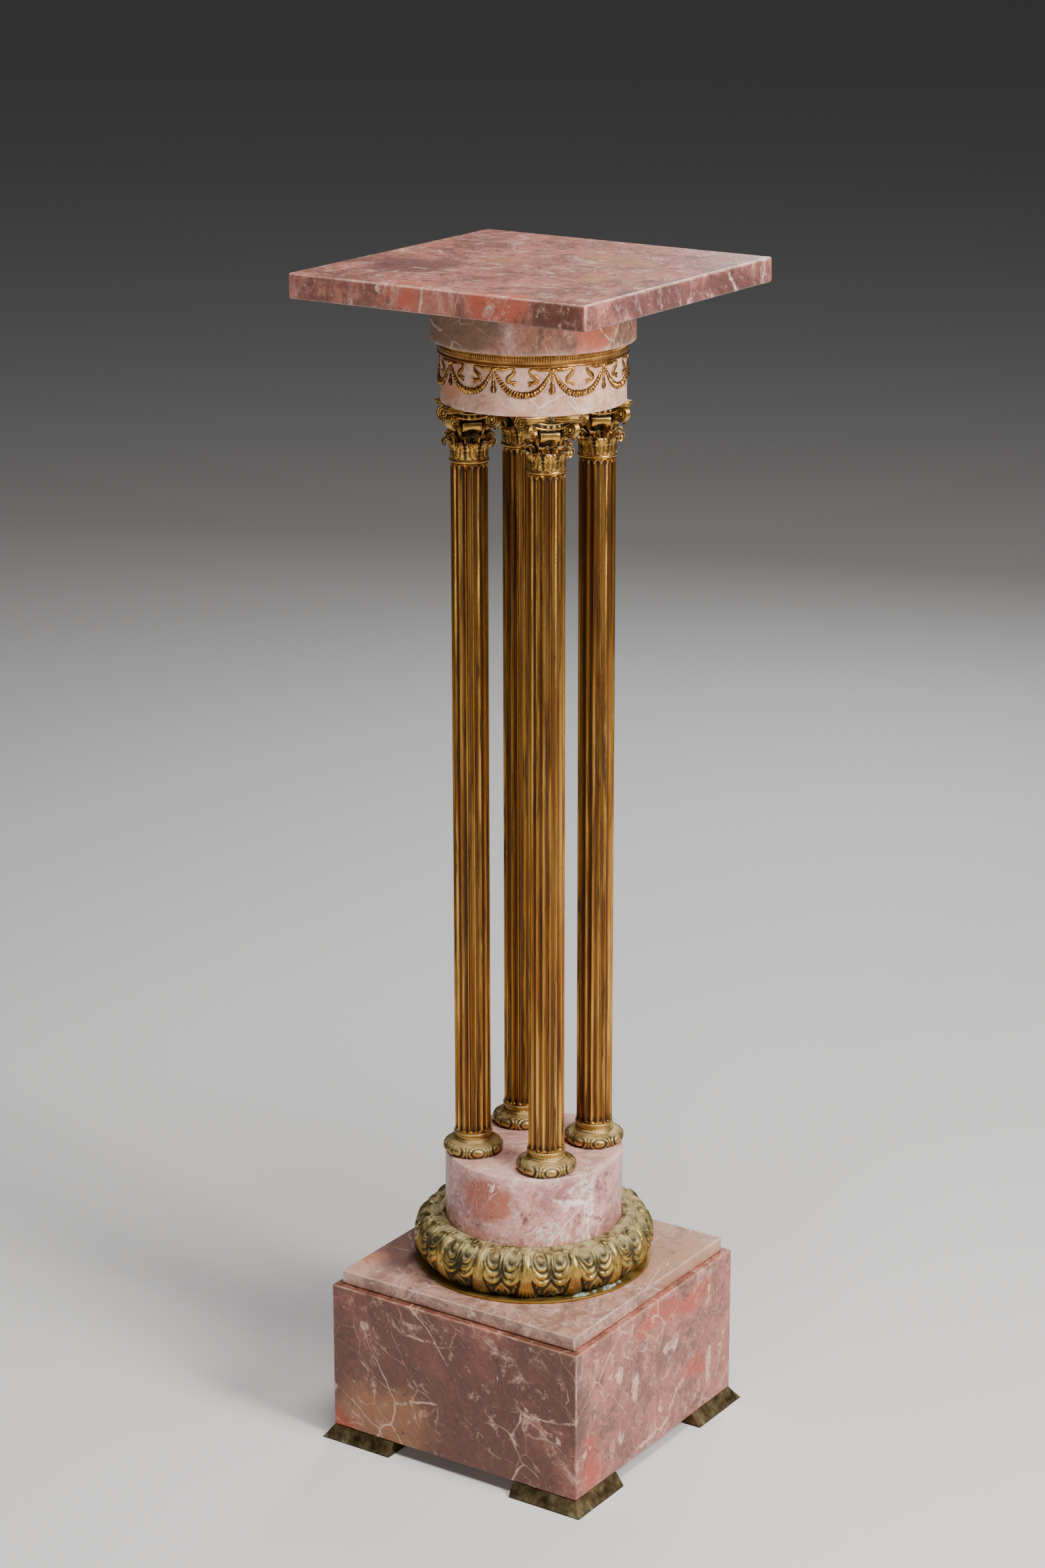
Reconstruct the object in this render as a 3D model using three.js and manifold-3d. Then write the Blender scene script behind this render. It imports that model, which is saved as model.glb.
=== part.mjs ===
// Marble pedestal stand with four fluted columns. Millimetres, +Z up.
// Origin on the floor under the centre; the square plinth and slab have faces on X and Y,
// and the columns stand on the diagonals.

import * as THREE from 'three';
import { mergeVertices } from 'three/addons/utils/BufferGeometryUtils.js';
import Module from 'manifold-3d';

const wasm = await Module();
wasm.setup();

// Joint between pieces that rest on each other, and clearance of a ring round its drum.
const seatGap = 0.3;

// Corner feet: L-shaped brackets that splay outwards towards the floor.
const footHeight = 12.2;
const footArm = 68;
const footWidth = 26;
const footSplay = 8.5;

// Square plinth of two marble pieces.
const plinthSide = 270;
const plinthHeight = 143.2;
const plinthBevel = 1.5;
const stepInset = 7;
const stepHeight = 13.2;
const stepBevel = 1.5;

// Lower drum, with the leaf ring and its flat plate round the foot.
const drumRadius = 82;
const drumHeight = 110.7;
const drumBevel = 1.5;
const plateProjection = 27;
const plateThickness = 2;
const leafRingProjection = 31;
const leafRingHeight = 45;
const leafRingCount = 15;
const leafRingTurn = -Math.PI / 3;
const leafRelief = 5;

// Columns: base, fluted shaft and capital.
const columnCount = 4;
const columnCircle = 57;
const baseRadius = 28;
const baseHeight = 20.7;
const baseFootInset = 3;
const baseShoulderInset = 2;
const baseRimWidth = 3.5;
const neckInset = 1.5;
const neckFoot = 1;
const beadProjection = 1.2;
const baseLobeCount = 8;
const baseLobeDepth = 0.8;
const shaftRadius = 16.6;
const shaftLength = 625.2;
const fluteCount = 16;
const fluteDepth = 1.3;
const filletShare = 0.24;
const capitalHeight = 51.7;
const capitalGap = 11;
const capitalNeckInset = 0.4;
const capitalLeafCount = 8;
const capitalLeafThickness = 2.2;
const capitalLeafCurl = 4.4;
const capitalLeafTip = 1.6;
const voluteRadius = 7.2;
const voluteThickness = 6.4;
const voluteInset = 2.4;
const voluteOverlap = 1;
const abacusCut = 3;
const abacusSideShare = 0.59;
const flowerSize = 3.6;
const flowerDrop = 3.4;

// Frieze drum, its gilt band and garlands, the collar and the top slab.
const friezeRadius = 81;
const friezeHeight = 53.2;
const bandHeight = 11;
const bandProjection = 2.2;
const bandStep = 0.9;
const bandSplitShare = 0.45;
const festoonCount = 10;
const festoonTurn = -Math.PI / 4;
const swagDrop = 24;
const swagRadius = 2.8;
const tasselLength = 20;
const tasselRadius = 2.7;
const ribbonReach = 17;
const ribbonDrop = 12;
const ribbonWidth = 2.6;
const ribbonThickness = 1.8;
const ribbonLift = 1.6;
const collarProjection = 8;
const collarHeight = 40.7;
const collarRounding = 8;
const slabSide = 300;
const slabThickness = 22;
const slabBevel = 2.5;

// Facets round each kind of turned piece.
const drumFacets = 36;
const baseFacets = 2 * baseLobeCount;
const leafRingFacets = 4 * leafRingCount;
const capitalFacets = 12;

// Levels of the stack, each piece resting on the one below.
const plinthBottom = footHeight + seatGap;
const stepBottom = plinthBottom + plinthHeight + seatGap;
const drumBottom = stepBottom + stepHeight + seatGap;
const baseBottom = drumBottom + drumHeight + seatGap;
const shaftBottom = baseBottom + baseHeight + seatGap;
const capitalBottom = shaftBottom + shaftLength + seatGap;
const friezeBottom = capitalBottom + capitalHeight + seatGap;
const collarBottom = friezeBottom + friezeHeight + seatGap;
const slabBottom = collarBottom + collarHeight + seatGap;

// Materials.
const roseMarble = new THREE.MeshStandardMaterial({ color: 0xb98078, roughness: 0.35, metalness: 0 });
const paleMarble = new THREE.MeshStandardMaterial({ color: 0xd3b2a6, roughness: 0.4, metalness: 0 });
const giltBronze = new THREE.MeshStandardMaterial({ color: 0xa9772c, roughness: 0.35, metalness: 1 });
const giltBrass = new THREE.MeshStandardMaterial({ color: 0xb27a26, roughness: 0.25, metalness: 1 });
const agedBronze = new THREE.MeshStandardMaterial({ color: 0x7d6a40, roughness: 0.45, metalness: 1 });

// Merges shared vertices and drops the triangles that a profile point on the axis leaves flat.
function welded(geometry) {
  const bare = geometry.clone();
  bare.deleteAttribute('normal');
  bare.deleteAttribute('uv');
  const merged = mergeVertices(bare, 1e-4);
  const corners = merged.index.array;
  const kept = [];
  for (let i = 0; i < corners.length; i += 3) {
    const [a, b, c] = [corners[i], corners[i + 1], corners[i + 2]];
    if (a !== b && b !== c && c !== a) kept.push(a, b, c);
  }
  merged.setIndex(kept);
  return merged;
}

function toSolid(geometry) {
  const clean = welded(geometry);
  const vertProperties = new Float32Array(clean.attributes.position.array);
  const triVerts = new Uint32Array(clean.index.array);
  return new wasm.Manifold(new wasm.Mesh({ numProp: 3, vertProperties, triVerts }));
}

function toGeometry(solid) {
  const mesh = solid.getMesh();
  const geometry = new THREE.BufferGeometry();
  geometry.setAttribute('position', new THREE.BufferAttribute(mesh.vertProperties, 3));
  geometry.setIndex(new THREE.BufferAttribute(mesh.triVerts, 1));
  return geometry;
}

function joined(geometries) {
  const solids = geometries.map(toSolid);
  return toGeometry(solids.reduce((whole, piece) => whole.add(piece)));
}

// Moves every vertex of a geometry by a function of its position.
function reshaped(geometry, move) {
  const position = geometry.attributes.position;
  const point = new THREE.Vector3();
  for (let i = 0; i < position.count; i += 1) {
    point.fromBufferAttribute(position, i);
    move(point);
    position.setXYZ(i, point.x, point.y, point.z);
  }
  return geometry;
}

// Turns a profile of [radius, height] pairs, listed upwards along the outside, round Z.
function turned(profile, facets) {
  const points = profile.map(([radius, height]) => new THREE.Vector2(radius, height));
  return new THREE.LatheGeometry(points, facets).rotateX(Math.PI / 2);
}

function angleOf(point) {
  return Math.atan2(point.y, point.x);
}

// A square slab standing on z = 0 with small bevels on all its edges.
function bevelledBlock(side, height, bevel) {
  const half = side / 2 - bevel;
  const outline = new THREE.Shape();
  outline.moveTo(-half, -half - bevel);
  outline.lineTo(half, -half - bevel);
  outline.lineTo(half + bevel, -half);
  outline.lineTo(half + bevel, half);
  outline.lineTo(half, half + bevel);
  outline.lineTo(-half, half + bevel);
  outline.lineTo(-half - bevel, half);
  outline.lineTo(-half - bevel, -half);
  const depth = height - 2 * bevel;
  const block = new THREE.ExtrudeGeometry(outline, {
    depth,
    bevelThickness: bevel,
    bevelSize: bevel,
    bevelOffset: -bevel,
    bevelSegments: 1,
  });
  return block.translate(0, 0, bevel);
}

// A bracket for the corner on +X and +Y; its inner angle lies towards the centre.
function footBracket() {
  const outline = new THREE.Shape();
  outline.moveTo(0, 0);
  outline.lineTo(-footArm, 0);
  outline.lineTo(-footArm, -footWidth);
  outline.lineTo(-footWidth, -footWidth);
  outline.lineTo(-footWidth, -footArm);
  outline.lineTo(0, -footArm);
  const prism = new THREE.ExtrudeGeometry(outline, { depth: footHeight, bevelEnabled: false });
  return reshaped(prism, (point) => {
    const outward = footSplay * (1 - point.z / footHeight);
    if (point.x > -1e-6) point.x += outward;
    if (point.y > -1e-6) point.y += outward;
  });
}

function drumBody(radius, height, bevel) {
  return turned([
    [0, 0],
    [radius, 0],
    [radius, height - bevel],
    [radius - bevel, height],
    [0, height],
  ], drumFacets);
}

function collarBody(radius) {
  const profile = [[0, 0]];
  const arcSteps = 2;
  for (let i = 0; i <= arcSteps; i += 1) {
    const turn = (i / arcSteps) * (Math.PI / 2);
    profile.push([
      radius - collarRounding * (1 - Math.sin(turn)),
      collarRounding * (1 - Math.cos(turn)),
    ]);
  }
  profile.push([radius, collarHeight], [0, collarHeight]);
  return turned(profile, drumFacets);
}

function flatRing(innerRadius, outerRadius, height) {
  return turned([
    [innerRadius, 0],
    [outerRadius, 0],
    [outerRadius, height],
    [innerRadius, height],
    [innerRadius, 0],
  ], drumFacets);
}

// Band of two mouldings: a plain torus below and a taller flat fillet above.
function friezeBandBody() {
  const inner = friezeRadius + seatGap;
  const outer = friezeRadius + bandProjection;
  const split = bandHeight * bandSplitShare;
  return turned([
    [inner, 0],
    [outer, split * 0.35],
    [outer, split * 0.8],
    [outer - bandStep, split],
    [outer - bandStep, bandHeight],
    [inner, bandHeight],
    [inner, 0],
  ], drumFacets);
}

// Leaf-carved ring: a bulging section whose surface swells into one fan of leaves per pitch.
function leafRingBody() {
  const inner = drumRadius + seatGap;
  const reach = leafRingProjection - seatGap;
  const section = [
    [0, 0],
    [0.46, 0],
    [0.52, 0.12],
    [0.86, 0.24],
    [1, 0.5],
    [0.88, 0.78],
    [0.5, 0.97],
    [0, 1],
    [0, 0],
  ];
  const profile = section.map(([out, up]) => [inner + reach * out, leafRingHeight * up]);
  return reshaped(turned(profile, leafRingFacets), (point) => {
    const radius = Math.hypot(point.x, point.y);
    const bulge = Math.max(0, (radius - inner) / reach - 0.4);
    const swell = leafRelief * bulge * (Math.cos(leafRingCount * (angleOf(point) - leafRingTurn)) - 1) / 2;
    point.multiply(new THREE.Vector3(1 + swell / radius, 1 + swell / radius, 1));
  });
}

// Column base: a lobed disc, a smooth neck and a bead under the shaft.
function columnBaseBody() {
  const neck = shaftRadius - neckInset;
  const bead = shaftRadius + beadProjection;
  const profile = [
    [0, 0],
    [baseRadius - baseFootInset, 0],
    [baseRadius, baseHeight * 0.22],
    [baseRadius - baseShoulderInset, baseHeight * 0.45],
    [neck + neckFoot, baseHeight * 0.6],
    [neck, baseHeight * 0.8],
    [bead, baseHeight * 0.87],
    [bead, baseHeight],
    [0, baseHeight],
  ];
  return reshaped(turned(profile, baseFacets), (point) => {
    const radius = Math.hypot(point.x, point.y);
    if (radius < baseRadius - baseRimWidth) return;
    const lobe = baseLobeDepth * (Math.cos(baseLobeCount * angleOf(point)) - 1) / 2;
    point.multiply(new THREE.Vector3(1 + lobe / radius, 1 + lobe / radius, 1));
  });
}

// Shaft section: concave flutes between narrow fillets, with a fillet on the local X axis.
function flutedShaft() {
  const pitch = (2 * Math.PI) / fluteCount;
  const half = (pitch * (1 - filletShare)) / 2;
  const outline = [];
  for (let i = 0; i < fluteCount; i += 1) {
    const middle = (i + 0.5) * pitch;
    const stations = [[-half, 0], [-half / 2.4, fluteDepth], [half / 2.4, fluteDepth], [half, 0]];
    for (const [turn, depth] of stations) {
      const radius = shaftRadius - depth;
      outline.push(new THREE.Vector2(
        radius * Math.cos(middle + turn),
        radius * Math.sin(middle + turn),
      ));
    }
  }
  const section = new THREE.Shape(outline);
  return new THREE.ExtrudeGeometry(section, { depth: shaftLength, bevelEnabled: false });
}

// Capital, with its faces on local X and Y and its volutes under the corners of the abacus.
const capitalReach = (columnCircle * Math.SQRT2 - capitalGap) / 2;
const abacusThickness = capitalHeight * 0.1;
const abacusBottom = capitalHeight - abacusThickness;

function capitalCore() {
  const astragal = shaftRadius + beadProjection;
  const neck = shaftRadius - capitalNeckInset;
  return turned([
    [0, 0],
    [astragal, 0],
    [astragal, capitalHeight * 0.05],
    [neck, capitalHeight * 0.07],
    [neck, capitalHeight * 0.32],
    [neck * 0.78, capitalHeight * 0.48],
    [neck * 0.76, capitalHeight * 0.68],
    [neck * 1.06, capitalHeight * 0.8],
    [neck * 0.85, capitalHeight * 0.91],
    [0, capitalHeight * 0.91],
  ], capitalFacets);
}

// A leaf that rises against the neck and curls outwards at its tip.
function capitalLeaf(turn) {
  const width = (2 * shaftRadius * Math.PI / capitalLeafCount) * 0.72;
  const stations = [
    { along: 0, out: 0, height: 0.1, share: 1 },
    { along: 0.5, out: 0.36, height: 0.28, share: 1 },
    { along: 1, out: 1, height: 0.36, share: 0.7 },
  ];
  const leaf = new THREE.BoxGeometry(1, 1, 1, 1, 1, 2);
  reshaped(leaf, (point) => {
    const along = point.z + 0.5;
    const station = stations.find((one) => Math.abs(one.along - along) < 1e-6);
    point.set(
      shaftRadius + capitalLeafCurl * station.out + capitalLeafThickness * (point.x - 0.5),
      point.y * width * station.share,
      capitalHeight * station.height + (point.x < 0 ? capitalLeafTip * along : 0),
    );
  });
  return leaf.rotateZ(turn);
}

// The disc's own axis is Y, square to the diagonal that it is turned to.
function voluteDisc(turn) {
  const disc = new THREE.CylinderGeometry(voluteRadius, voluteRadius, voluteThickness, 8);
  disc.translate(capitalReach - voluteInset - voluteRadius, 0, abacusBottom + voluteOverlap - voluteRadius);
  return disc.rotateZ(turn);
}

// Square abacus with hollow sides and cut corners.
function abacusBody() {
  const sideMiddle = capitalReach * abacusSideShare;
  const nearCorner = new THREE.Vector2(capitalReach, abacusCut).rotateAround(new THREE.Vector2(), Math.PI / 4);
  const control = new THREE.Vector2(0, 2 * sideMiddle - nearCorner.y);
  const origin = new THREE.Vector2();
  const outline = new THREE.Shape();
  for (let i = 0; i < 4; i += 1) {
    const quarter = i * Math.PI / 2;
    const cornerStart = new THREE.Vector2(nearCorner.y, nearCorner.x).rotateAround(origin, quarter);
    const cornerEnd = nearCorner.clone().rotateAround(origin, quarter);
    const hollow = control.clone().rotateAround(origin, quarter);
    const nextStart = new THREE.Vector2(-nearCorner.x, nearCorner.y).rotateAround(origin, quarter);
    if (i === 0) outline.moveTo(cornerStart.x, cornerStart.y);
    outline.lineTo(cornerEnd.x, cornerEnd.y);
    outline.quadraticCurveTo(hollow.x, hollow.y, nextStart.x, nextStart.y);
  }
  const body = new THREE.ExtrudeGeometry(outline, {
    depth: abacusThickness,
    bevelEnabled: false,
    curveSegments: 3,
  });
  return body.translate(0, 0, abacusBottom);
}

// Flower at the middle of each side of the abacus.
function abacusFlower(turn) {
  const flower = new THREE.OctahedronGeometry(flowerSize).scale(0.8, 1, 0.8);
  flower.translate(capitalReach * abacusSideShare, 0, capitalHeight - flowerDrop);
  return flower.rotateZ(turn);
}

function capitalBody() {
  const pieces = [capitalCore(), abacusBody()];
  for (let i = 0; i < capitalLeafCount; i += 1) {
    pieces.push(capitalLeaf((i * 2 * Math.PI) / capitalLeafCount));
  }
  for (let i = 0; i < 4; i += 1) {
    pieces.push(voluteDisc((i + 0.5) * Math.PI / 2));
    pieces.push(abacusFlower(i * Math.PI / 2));
  }
  return joined(pieces);
}

// A ridged strip along a path of the unrolled frieze: x runs round it clockwise, z up, y outwards.
// It is a three-sided prism with its flat side against the drum.
function strip(path, halfWidthAt, thicknessAt, steps) {
  const prism = new THREE.CylinderGeometry(1, 1, 1, 3, steps);
  const outwards = new THREE.Vector3(0, 1, 0);
  return reshaped(prism, (point) => {
    const along = point.y + 0.5;
    const isRidge = point.z > 0.5;
    const side = isRidge ? 0 : Math.sign(point.x);
    const across = path.getTangent(along).cross(outwards).multiplyScalar(side * halfWidthAt(along));
    point.copy(path.getPoint(along)).add(across);
    point.y = isRidge ? thicknessAt(along) : 0;
  });
}

// Bends the unrolled frieze round the drum, clear of its face by the seat gap.
function bentRound(geometry, turn) {
  return reshaped(geometry, (point) => {
    const radius = friezeRadius + seatGap + point.y;
    const angle = turn - point.x / friezeRadius;
    point.set(radius * Math.cos(angle), radius * Math.sin(angle), point.z);
  });
}

const festoonPitch = (2 * Math.PI * friezeRadius) / festoonCount;
const knotLevel = friezeHeight - bandHeight - seatGap - ribbonWidth / 2 - ribbonLift;

function swag() {
  const points = [];
  const steps = 6;
  for (let i = 0; i <= steps; i += 1) {
    const along = i / steps;
    const sag = swagDrop * Math.sin(Math.PI * along) ** 0.8;
    points.push(new THREE.Vector3(festoonPitch * along, 0, knotLevel - sag));
  }
  const thickness = (along) => swagRadius * (0.4 + 0.6 * Math.sin(Math.PI * along));
  return strip(new THREE.CatmullRomCurve3(points), thickness, thickness, steps);
}

function ribbon(side) {
  const shape = [[0, 0], [0.5, 0.03], [0.88, 0.13], [0.9, -0.25], [0.68, -0.6], [1, -1]];
  const points = shape.map(([out, up]) => {
    const rise = up > 0 ? ribbonLift * up / 0.13 : ribbonDrop * up;
    return new THREE.Vector3(side * ribbonReach * out, 0, knotLevel + rise);
  });
  if (side < 0) points.reverse();
  return strip(new THREE.CatmullRomCurve3(points), () => ribbonWidth / 2, () => ribbonThickness, 5);
}

function tassel() {
  const top = new THREE.Vector3(0, 0, knotLevel);
  const tip = new THREE.Vector3(0, 0, knotLevel - tasselLength);
  const width = (along) => tasselRadius * (along < 0.5 ? 0.4 : 0.4 + 2.4 * (along - 0.5) * (1.5 - along));
  return strip(new THREE.LineCurve3(top, tip), width, width, 3);
}

function knot() {
  const size = ribbonWidth * 0.75;
  return reshaped(new THREE.OctahedronGeometry(size), (point) => {
    point.y = Math.max(0, point.y * 1.6);
    point.z += knotLevel;
  });
}

function garlandFrieze() {
  const pieces = [];
  for (let i = 0; i < festoonCount; i += 1) {
    const turn = festoonTurn + (i * 2 * Math.PI) / festoonCount;
    for (const piece of [swag(), ribbon(-1), ribbon(1), tassel(), knot()]) {
      pieces.push(bentRound(piece, turn));
    }
  }
  return joined(pieces);
}

const stand = new THREE.Group();

function add(parent, name, geometry, material, x = 0, y = 0, z = 0) {
  const mesh = new THREE.Mesh(geometry, material);
  mesh.name = name;
  mesh.position.set(x, y, z);
  parent.add(mesh);
  return mesh;
}

// Feet, one under each corner of the plinth.
for (let i = 0; i < 4; i += 1) {
  const corner = new THREE.Group();
  corner.rotation.z = i * Math.PI / 2;
  add(corner, `foot_${i + 1}`, footBracket(), agedBronze, plinthSide / 2, plinthSide / 2, 0);
  stand.add(corner);
}

// Plinth, drum and the leaf ring on its plate.
const stepSide = plinthSide - 2 * stepInset;
const ringInner = drumRadius + seatGap;
add(stand, 'plinth_block', bevelledBlock(plinthSide, plinthHeight, plinthBevel), roseMarble, 0, 0, plinthBottom);
add(stand, 'plinth_step', bevelledBlock(stepSide, stepHeight, stepBevel), roseMarble, 0, 0, stepBottom);
add(stand, 'ring_plate', flatRing(ringInner, drumRadius + plateProjection, plateThickness), giltBronze, 0, 0, drumBottom);
add(stand, 'leaf_torus', leafRingBody(), agedBronze, 0, 0, drumBottom + plateThickness + seatGap);
add(stand, 'lower_drum', drumBody(drumRadius, drumHeight, drumBevel), roseMarble, 0, 0, drumBottom);

// Columns on the diagonals, each turned so that its capital faces outwards.
for (let i = 0; i < columnCount; i += 1) {
  const column = new THREE.Group();
  const turn = (i + 0.5) * ((2 * Math.PI) / columnCount);
  column.position.set(columnCircle * Math.cos(turn), columnCircle * Math.sin(turn), 0);
  column.rotation.z = turn;
  add(column, `column_base_${i + 1}`, columnBaseBody(), giltBronze, 0, 0, baseBottom);
  add(column, `shaft_${i + 1}`, flutedShaft(), giltBrass, 0, 0, shaftBottom);
  add(column, `capital_${i + 1}`, capitalBody(), giltBronze, 0, 0, capitalBottom);
  stand.add(column);
}

// Frieze, collar and slab.
const bandBottom = friezeBottom + friezeHeight - bandHeight;
add(stand, 'frieze_drum', drumBody(friezeRadius, friezeHeight, drumBevel), paleMarble, 0, 0, friezeBottom);
add(stand, 'garland_frieze', garlandFrieze(), giltBronze, 0, 0, friezeBottom);
add(stand, 'frieze_band', friezeBandBody(), giltBronze, 0, 0, bandBottom);
add(stand, 'collar', collarBody(friezeRadius + collarProjection), roseMarble, 0, 0, collarBottom);
add(stand, 'top_slab', bevelledBlock(slabSide, slabThickness, slabBevel), roseMarble, 0, 0, slabBottom);

export default stand;
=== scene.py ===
# %% [markdown]
# # A marble pedestal stand with four fluted columns
#
# The stand is about eleven hundred millimetres tall. It has a square top slab, a round collar and frieze,
# four gilt columns on a marble drum, a bronze ring of leaves, and a square plinth on four corner feet.
# The measured solids are loaded first. Every piece made here takes its size and place from them, so
# nothing has to be fitted afterwards.

# %% Load the measured solids
import math
import bmesh
import bpy
import numpy as np
from mathutils import Matrix, Vector


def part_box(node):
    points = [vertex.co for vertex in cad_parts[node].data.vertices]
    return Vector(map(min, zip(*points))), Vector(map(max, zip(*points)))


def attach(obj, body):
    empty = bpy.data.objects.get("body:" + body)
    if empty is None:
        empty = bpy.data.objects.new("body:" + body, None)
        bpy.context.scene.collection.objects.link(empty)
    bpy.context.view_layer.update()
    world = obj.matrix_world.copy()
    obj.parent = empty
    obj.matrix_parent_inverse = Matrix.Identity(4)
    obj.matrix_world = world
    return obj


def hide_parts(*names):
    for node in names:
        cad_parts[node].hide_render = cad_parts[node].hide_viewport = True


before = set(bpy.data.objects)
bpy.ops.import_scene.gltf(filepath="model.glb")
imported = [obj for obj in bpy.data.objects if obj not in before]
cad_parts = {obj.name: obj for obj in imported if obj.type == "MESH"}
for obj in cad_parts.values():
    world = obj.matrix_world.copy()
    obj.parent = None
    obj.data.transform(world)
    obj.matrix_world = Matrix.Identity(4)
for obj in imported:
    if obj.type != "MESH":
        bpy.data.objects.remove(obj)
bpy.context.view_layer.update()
print("solids loaded:", len(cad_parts))

# %% [markdown]
# ## The camera
#
# The camera stands above the stand's top, a little over three metres away, and looks down at it.
# A long lens at that distance keeps the upright lines nearly parallel. The place, the turn and the
# focal length were solved from the corners of the slab and the plinth.

# %% Camera
mm = 0.001
photo_height = 2352
focal_pixels = 5312
sensor_size = 36
camera_place = Vector((1.6765, -2.5223, 1.5777))
camera_turn = math.radians(33.80)
camera_drop = math.radians(17.39)
camera_roll = math.radians(-0.09)

camera_data = bpy.data.cameras.new("studio_camera")
camera_data.sensor_width = sensor_size
camera_data.lens = focal_pixels / photo_height * sensor_size
camera = bpy.data.objects.new("studio_camera", camera_data)
bpy.context.scene.collection.objects.link(camera)
camera.matrix_world = (
    Matrix.Translation(camera_place)
    @ Matrix.Rotation(camera_turn, 4, "Z")
    @ Matrix.Rotation(math.pi / 2 - camera_drop, 4, "X")
    @ Matrix.Rotation(camera_roll, 4, "Z")
)
bpy.context.scene.camera = camera
print("lens", round(camera_data.lens, 1), "mm")

# %% [markdown]
# ## Floor and light
#
# The floor is one wide pale sheet that reaches past the top of the picture, so there is no horizon.
# The lights are large soft panels. Polished metal shows its surroundings, so the panels stand apart
# with dark room between them: that is what gives the gilt columns their bright and dark stripes.

# %% Floor
floor_reach = 30
square_corners = [(-1, -1), (1, -1), (1, 1), (-1, 1)]


def sheet_object(name, half_size):
    """A flat square on the ground, twice half_size wide."""
    corners = [(x * half_size, y * half_size, 0) for x, y in square_corners]
    mesh = bpy.data.meshes.new(name)
    mesh.from_pydata(corners, [], [(0, 1, 2, 3)])
    sheet = bpy.data.objects.new(name, mesh)
    bpy.context.scene.collection.objects.link(sheet)
    return sheet


floor = sheet_object("studio_floor", floor_reach)
print("floor", 2 * floor_reach, "metres wide")

# %% Lights
room_colour = (0.74, 0.74, 0.76, 1)
room_strength = 0.055
world = bpy.data.worlds.new("studio_room")
bpy.context.scene.world = world
world.use_nodes = True
world.node_tree.nodes["Background"].inputs["Color"].default_value = room_colour
world.node_tree.nodes["Background"].inputs["Strength"].default_value = room_strength


def soft_panel(name, turn, height, distance, size, power, warmth, aim):
    """A panel, turn degrees round from the camera, that faces the stand at the height called aim."""
    light = bpy.data.lights.new(name, "AREA")
    light.shape = "RECTANGLE"
    light.size, light.size_y = size
    light.energy = power
    light.color = (1.0, 0.5 + 0.5 * warmth, warmth)
    holder = bpy.data.objects.new(name, light)
    bpy.context.scene.collection.objects.link(holder)
    angle = camera_turn + math.radians(turn)
    place = Vector((math.sin(angle) * distance, -math.cos(angle) * distance, height))
    holder.location = place
    holder.rotation_euler = (place - Vector((0, 0, aim))).to_track_quat("Z", "Y").to_euler()


soft_panel("key_panel", 50, height=1.85, distance=2.1, size=(0.7, 1.2), power=88, warmth=0.92, aim=0.7)
soft_panel("strip_panel", -26, height=0.9, distance=2.4, size=(0.12, 1.3), power=11, warmth=0.97, aim=0.5)
soft_panel("top_panel", 20, height=2.8, distance=0.8, size=(0.9, 0.9), power=48, warmth=0.95, aim=0.9)
soft_panel("rim_panel", 165, height=1.9, distance=2.4, size=(0.4, 1.4), power=24, warmth=1.0, aim=0.6)

# %% [markdown]
# ## Shader maths as Python
#
# A marble or a patina is a sum of many patterns. Each pattern is one output of a node. Wiring hundreds of
# Math nodes by hand is slow and hard to read. The class below wraps an output so that it can be added,
# multiplied and compared like a number, and each sum adds its own node.

# %% Values
class Value:
    """One output socket of a finish. Arithmetic on it adds Math nodes."""

    def __init__(self, finish, socket):
        self.finish = finish
        self.socket = socket

    def math(self, operation, *values):
        """One Math node with these inputs, in order."""
        return self.finish.node("ShaderNodeMath", {"operation": operation}, dict(enumerate(values)))

    def __add__(self, other):
        return self.math("ADD", self, other)

    def __radd__(self, other):
        return self.math("ADD", other, self)

    def __sub__(self, other):
        return self.math("SUBTRACT", self, other)

    def __rsub__(self, other):
        return self.math("SUBTRACT", other, self)

    def __mul__(self, other):
        return self.math("MULTIPLY", self, other)

    def __rmul__(self, other):
        return self.math("MULTIPLY", other, self)

    def __abs__(self):
        return self.math("ABSOLUTE", self)

    def most(self, other):
        """The larger of two values."""
        return self.math("MAXIMUM", self, other)

    def step(self, low, high):
        """0 below low, 1 above high, and a smooth change between; low may be the larger."""
        return self.finish.node(
            "ShaderNodeMapRange",
            {"interpolation_type": "SMOOTHSTEP"},
            {"Value": self, "From Min": low, "From Max": high},
        )


print("a value knows", [name for name, part in vars(Value).items() if callable(part)])

# %% [markdown]
# ## Finishes
#
# A finish is one material. Numbers that are the same all over the surface are set on its shader. What
# changes from place to place comes from nodes, and one method makes any node: its kind, its settings,
# then its inputs. The other methods are short names for nodes that are used often.

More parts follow.
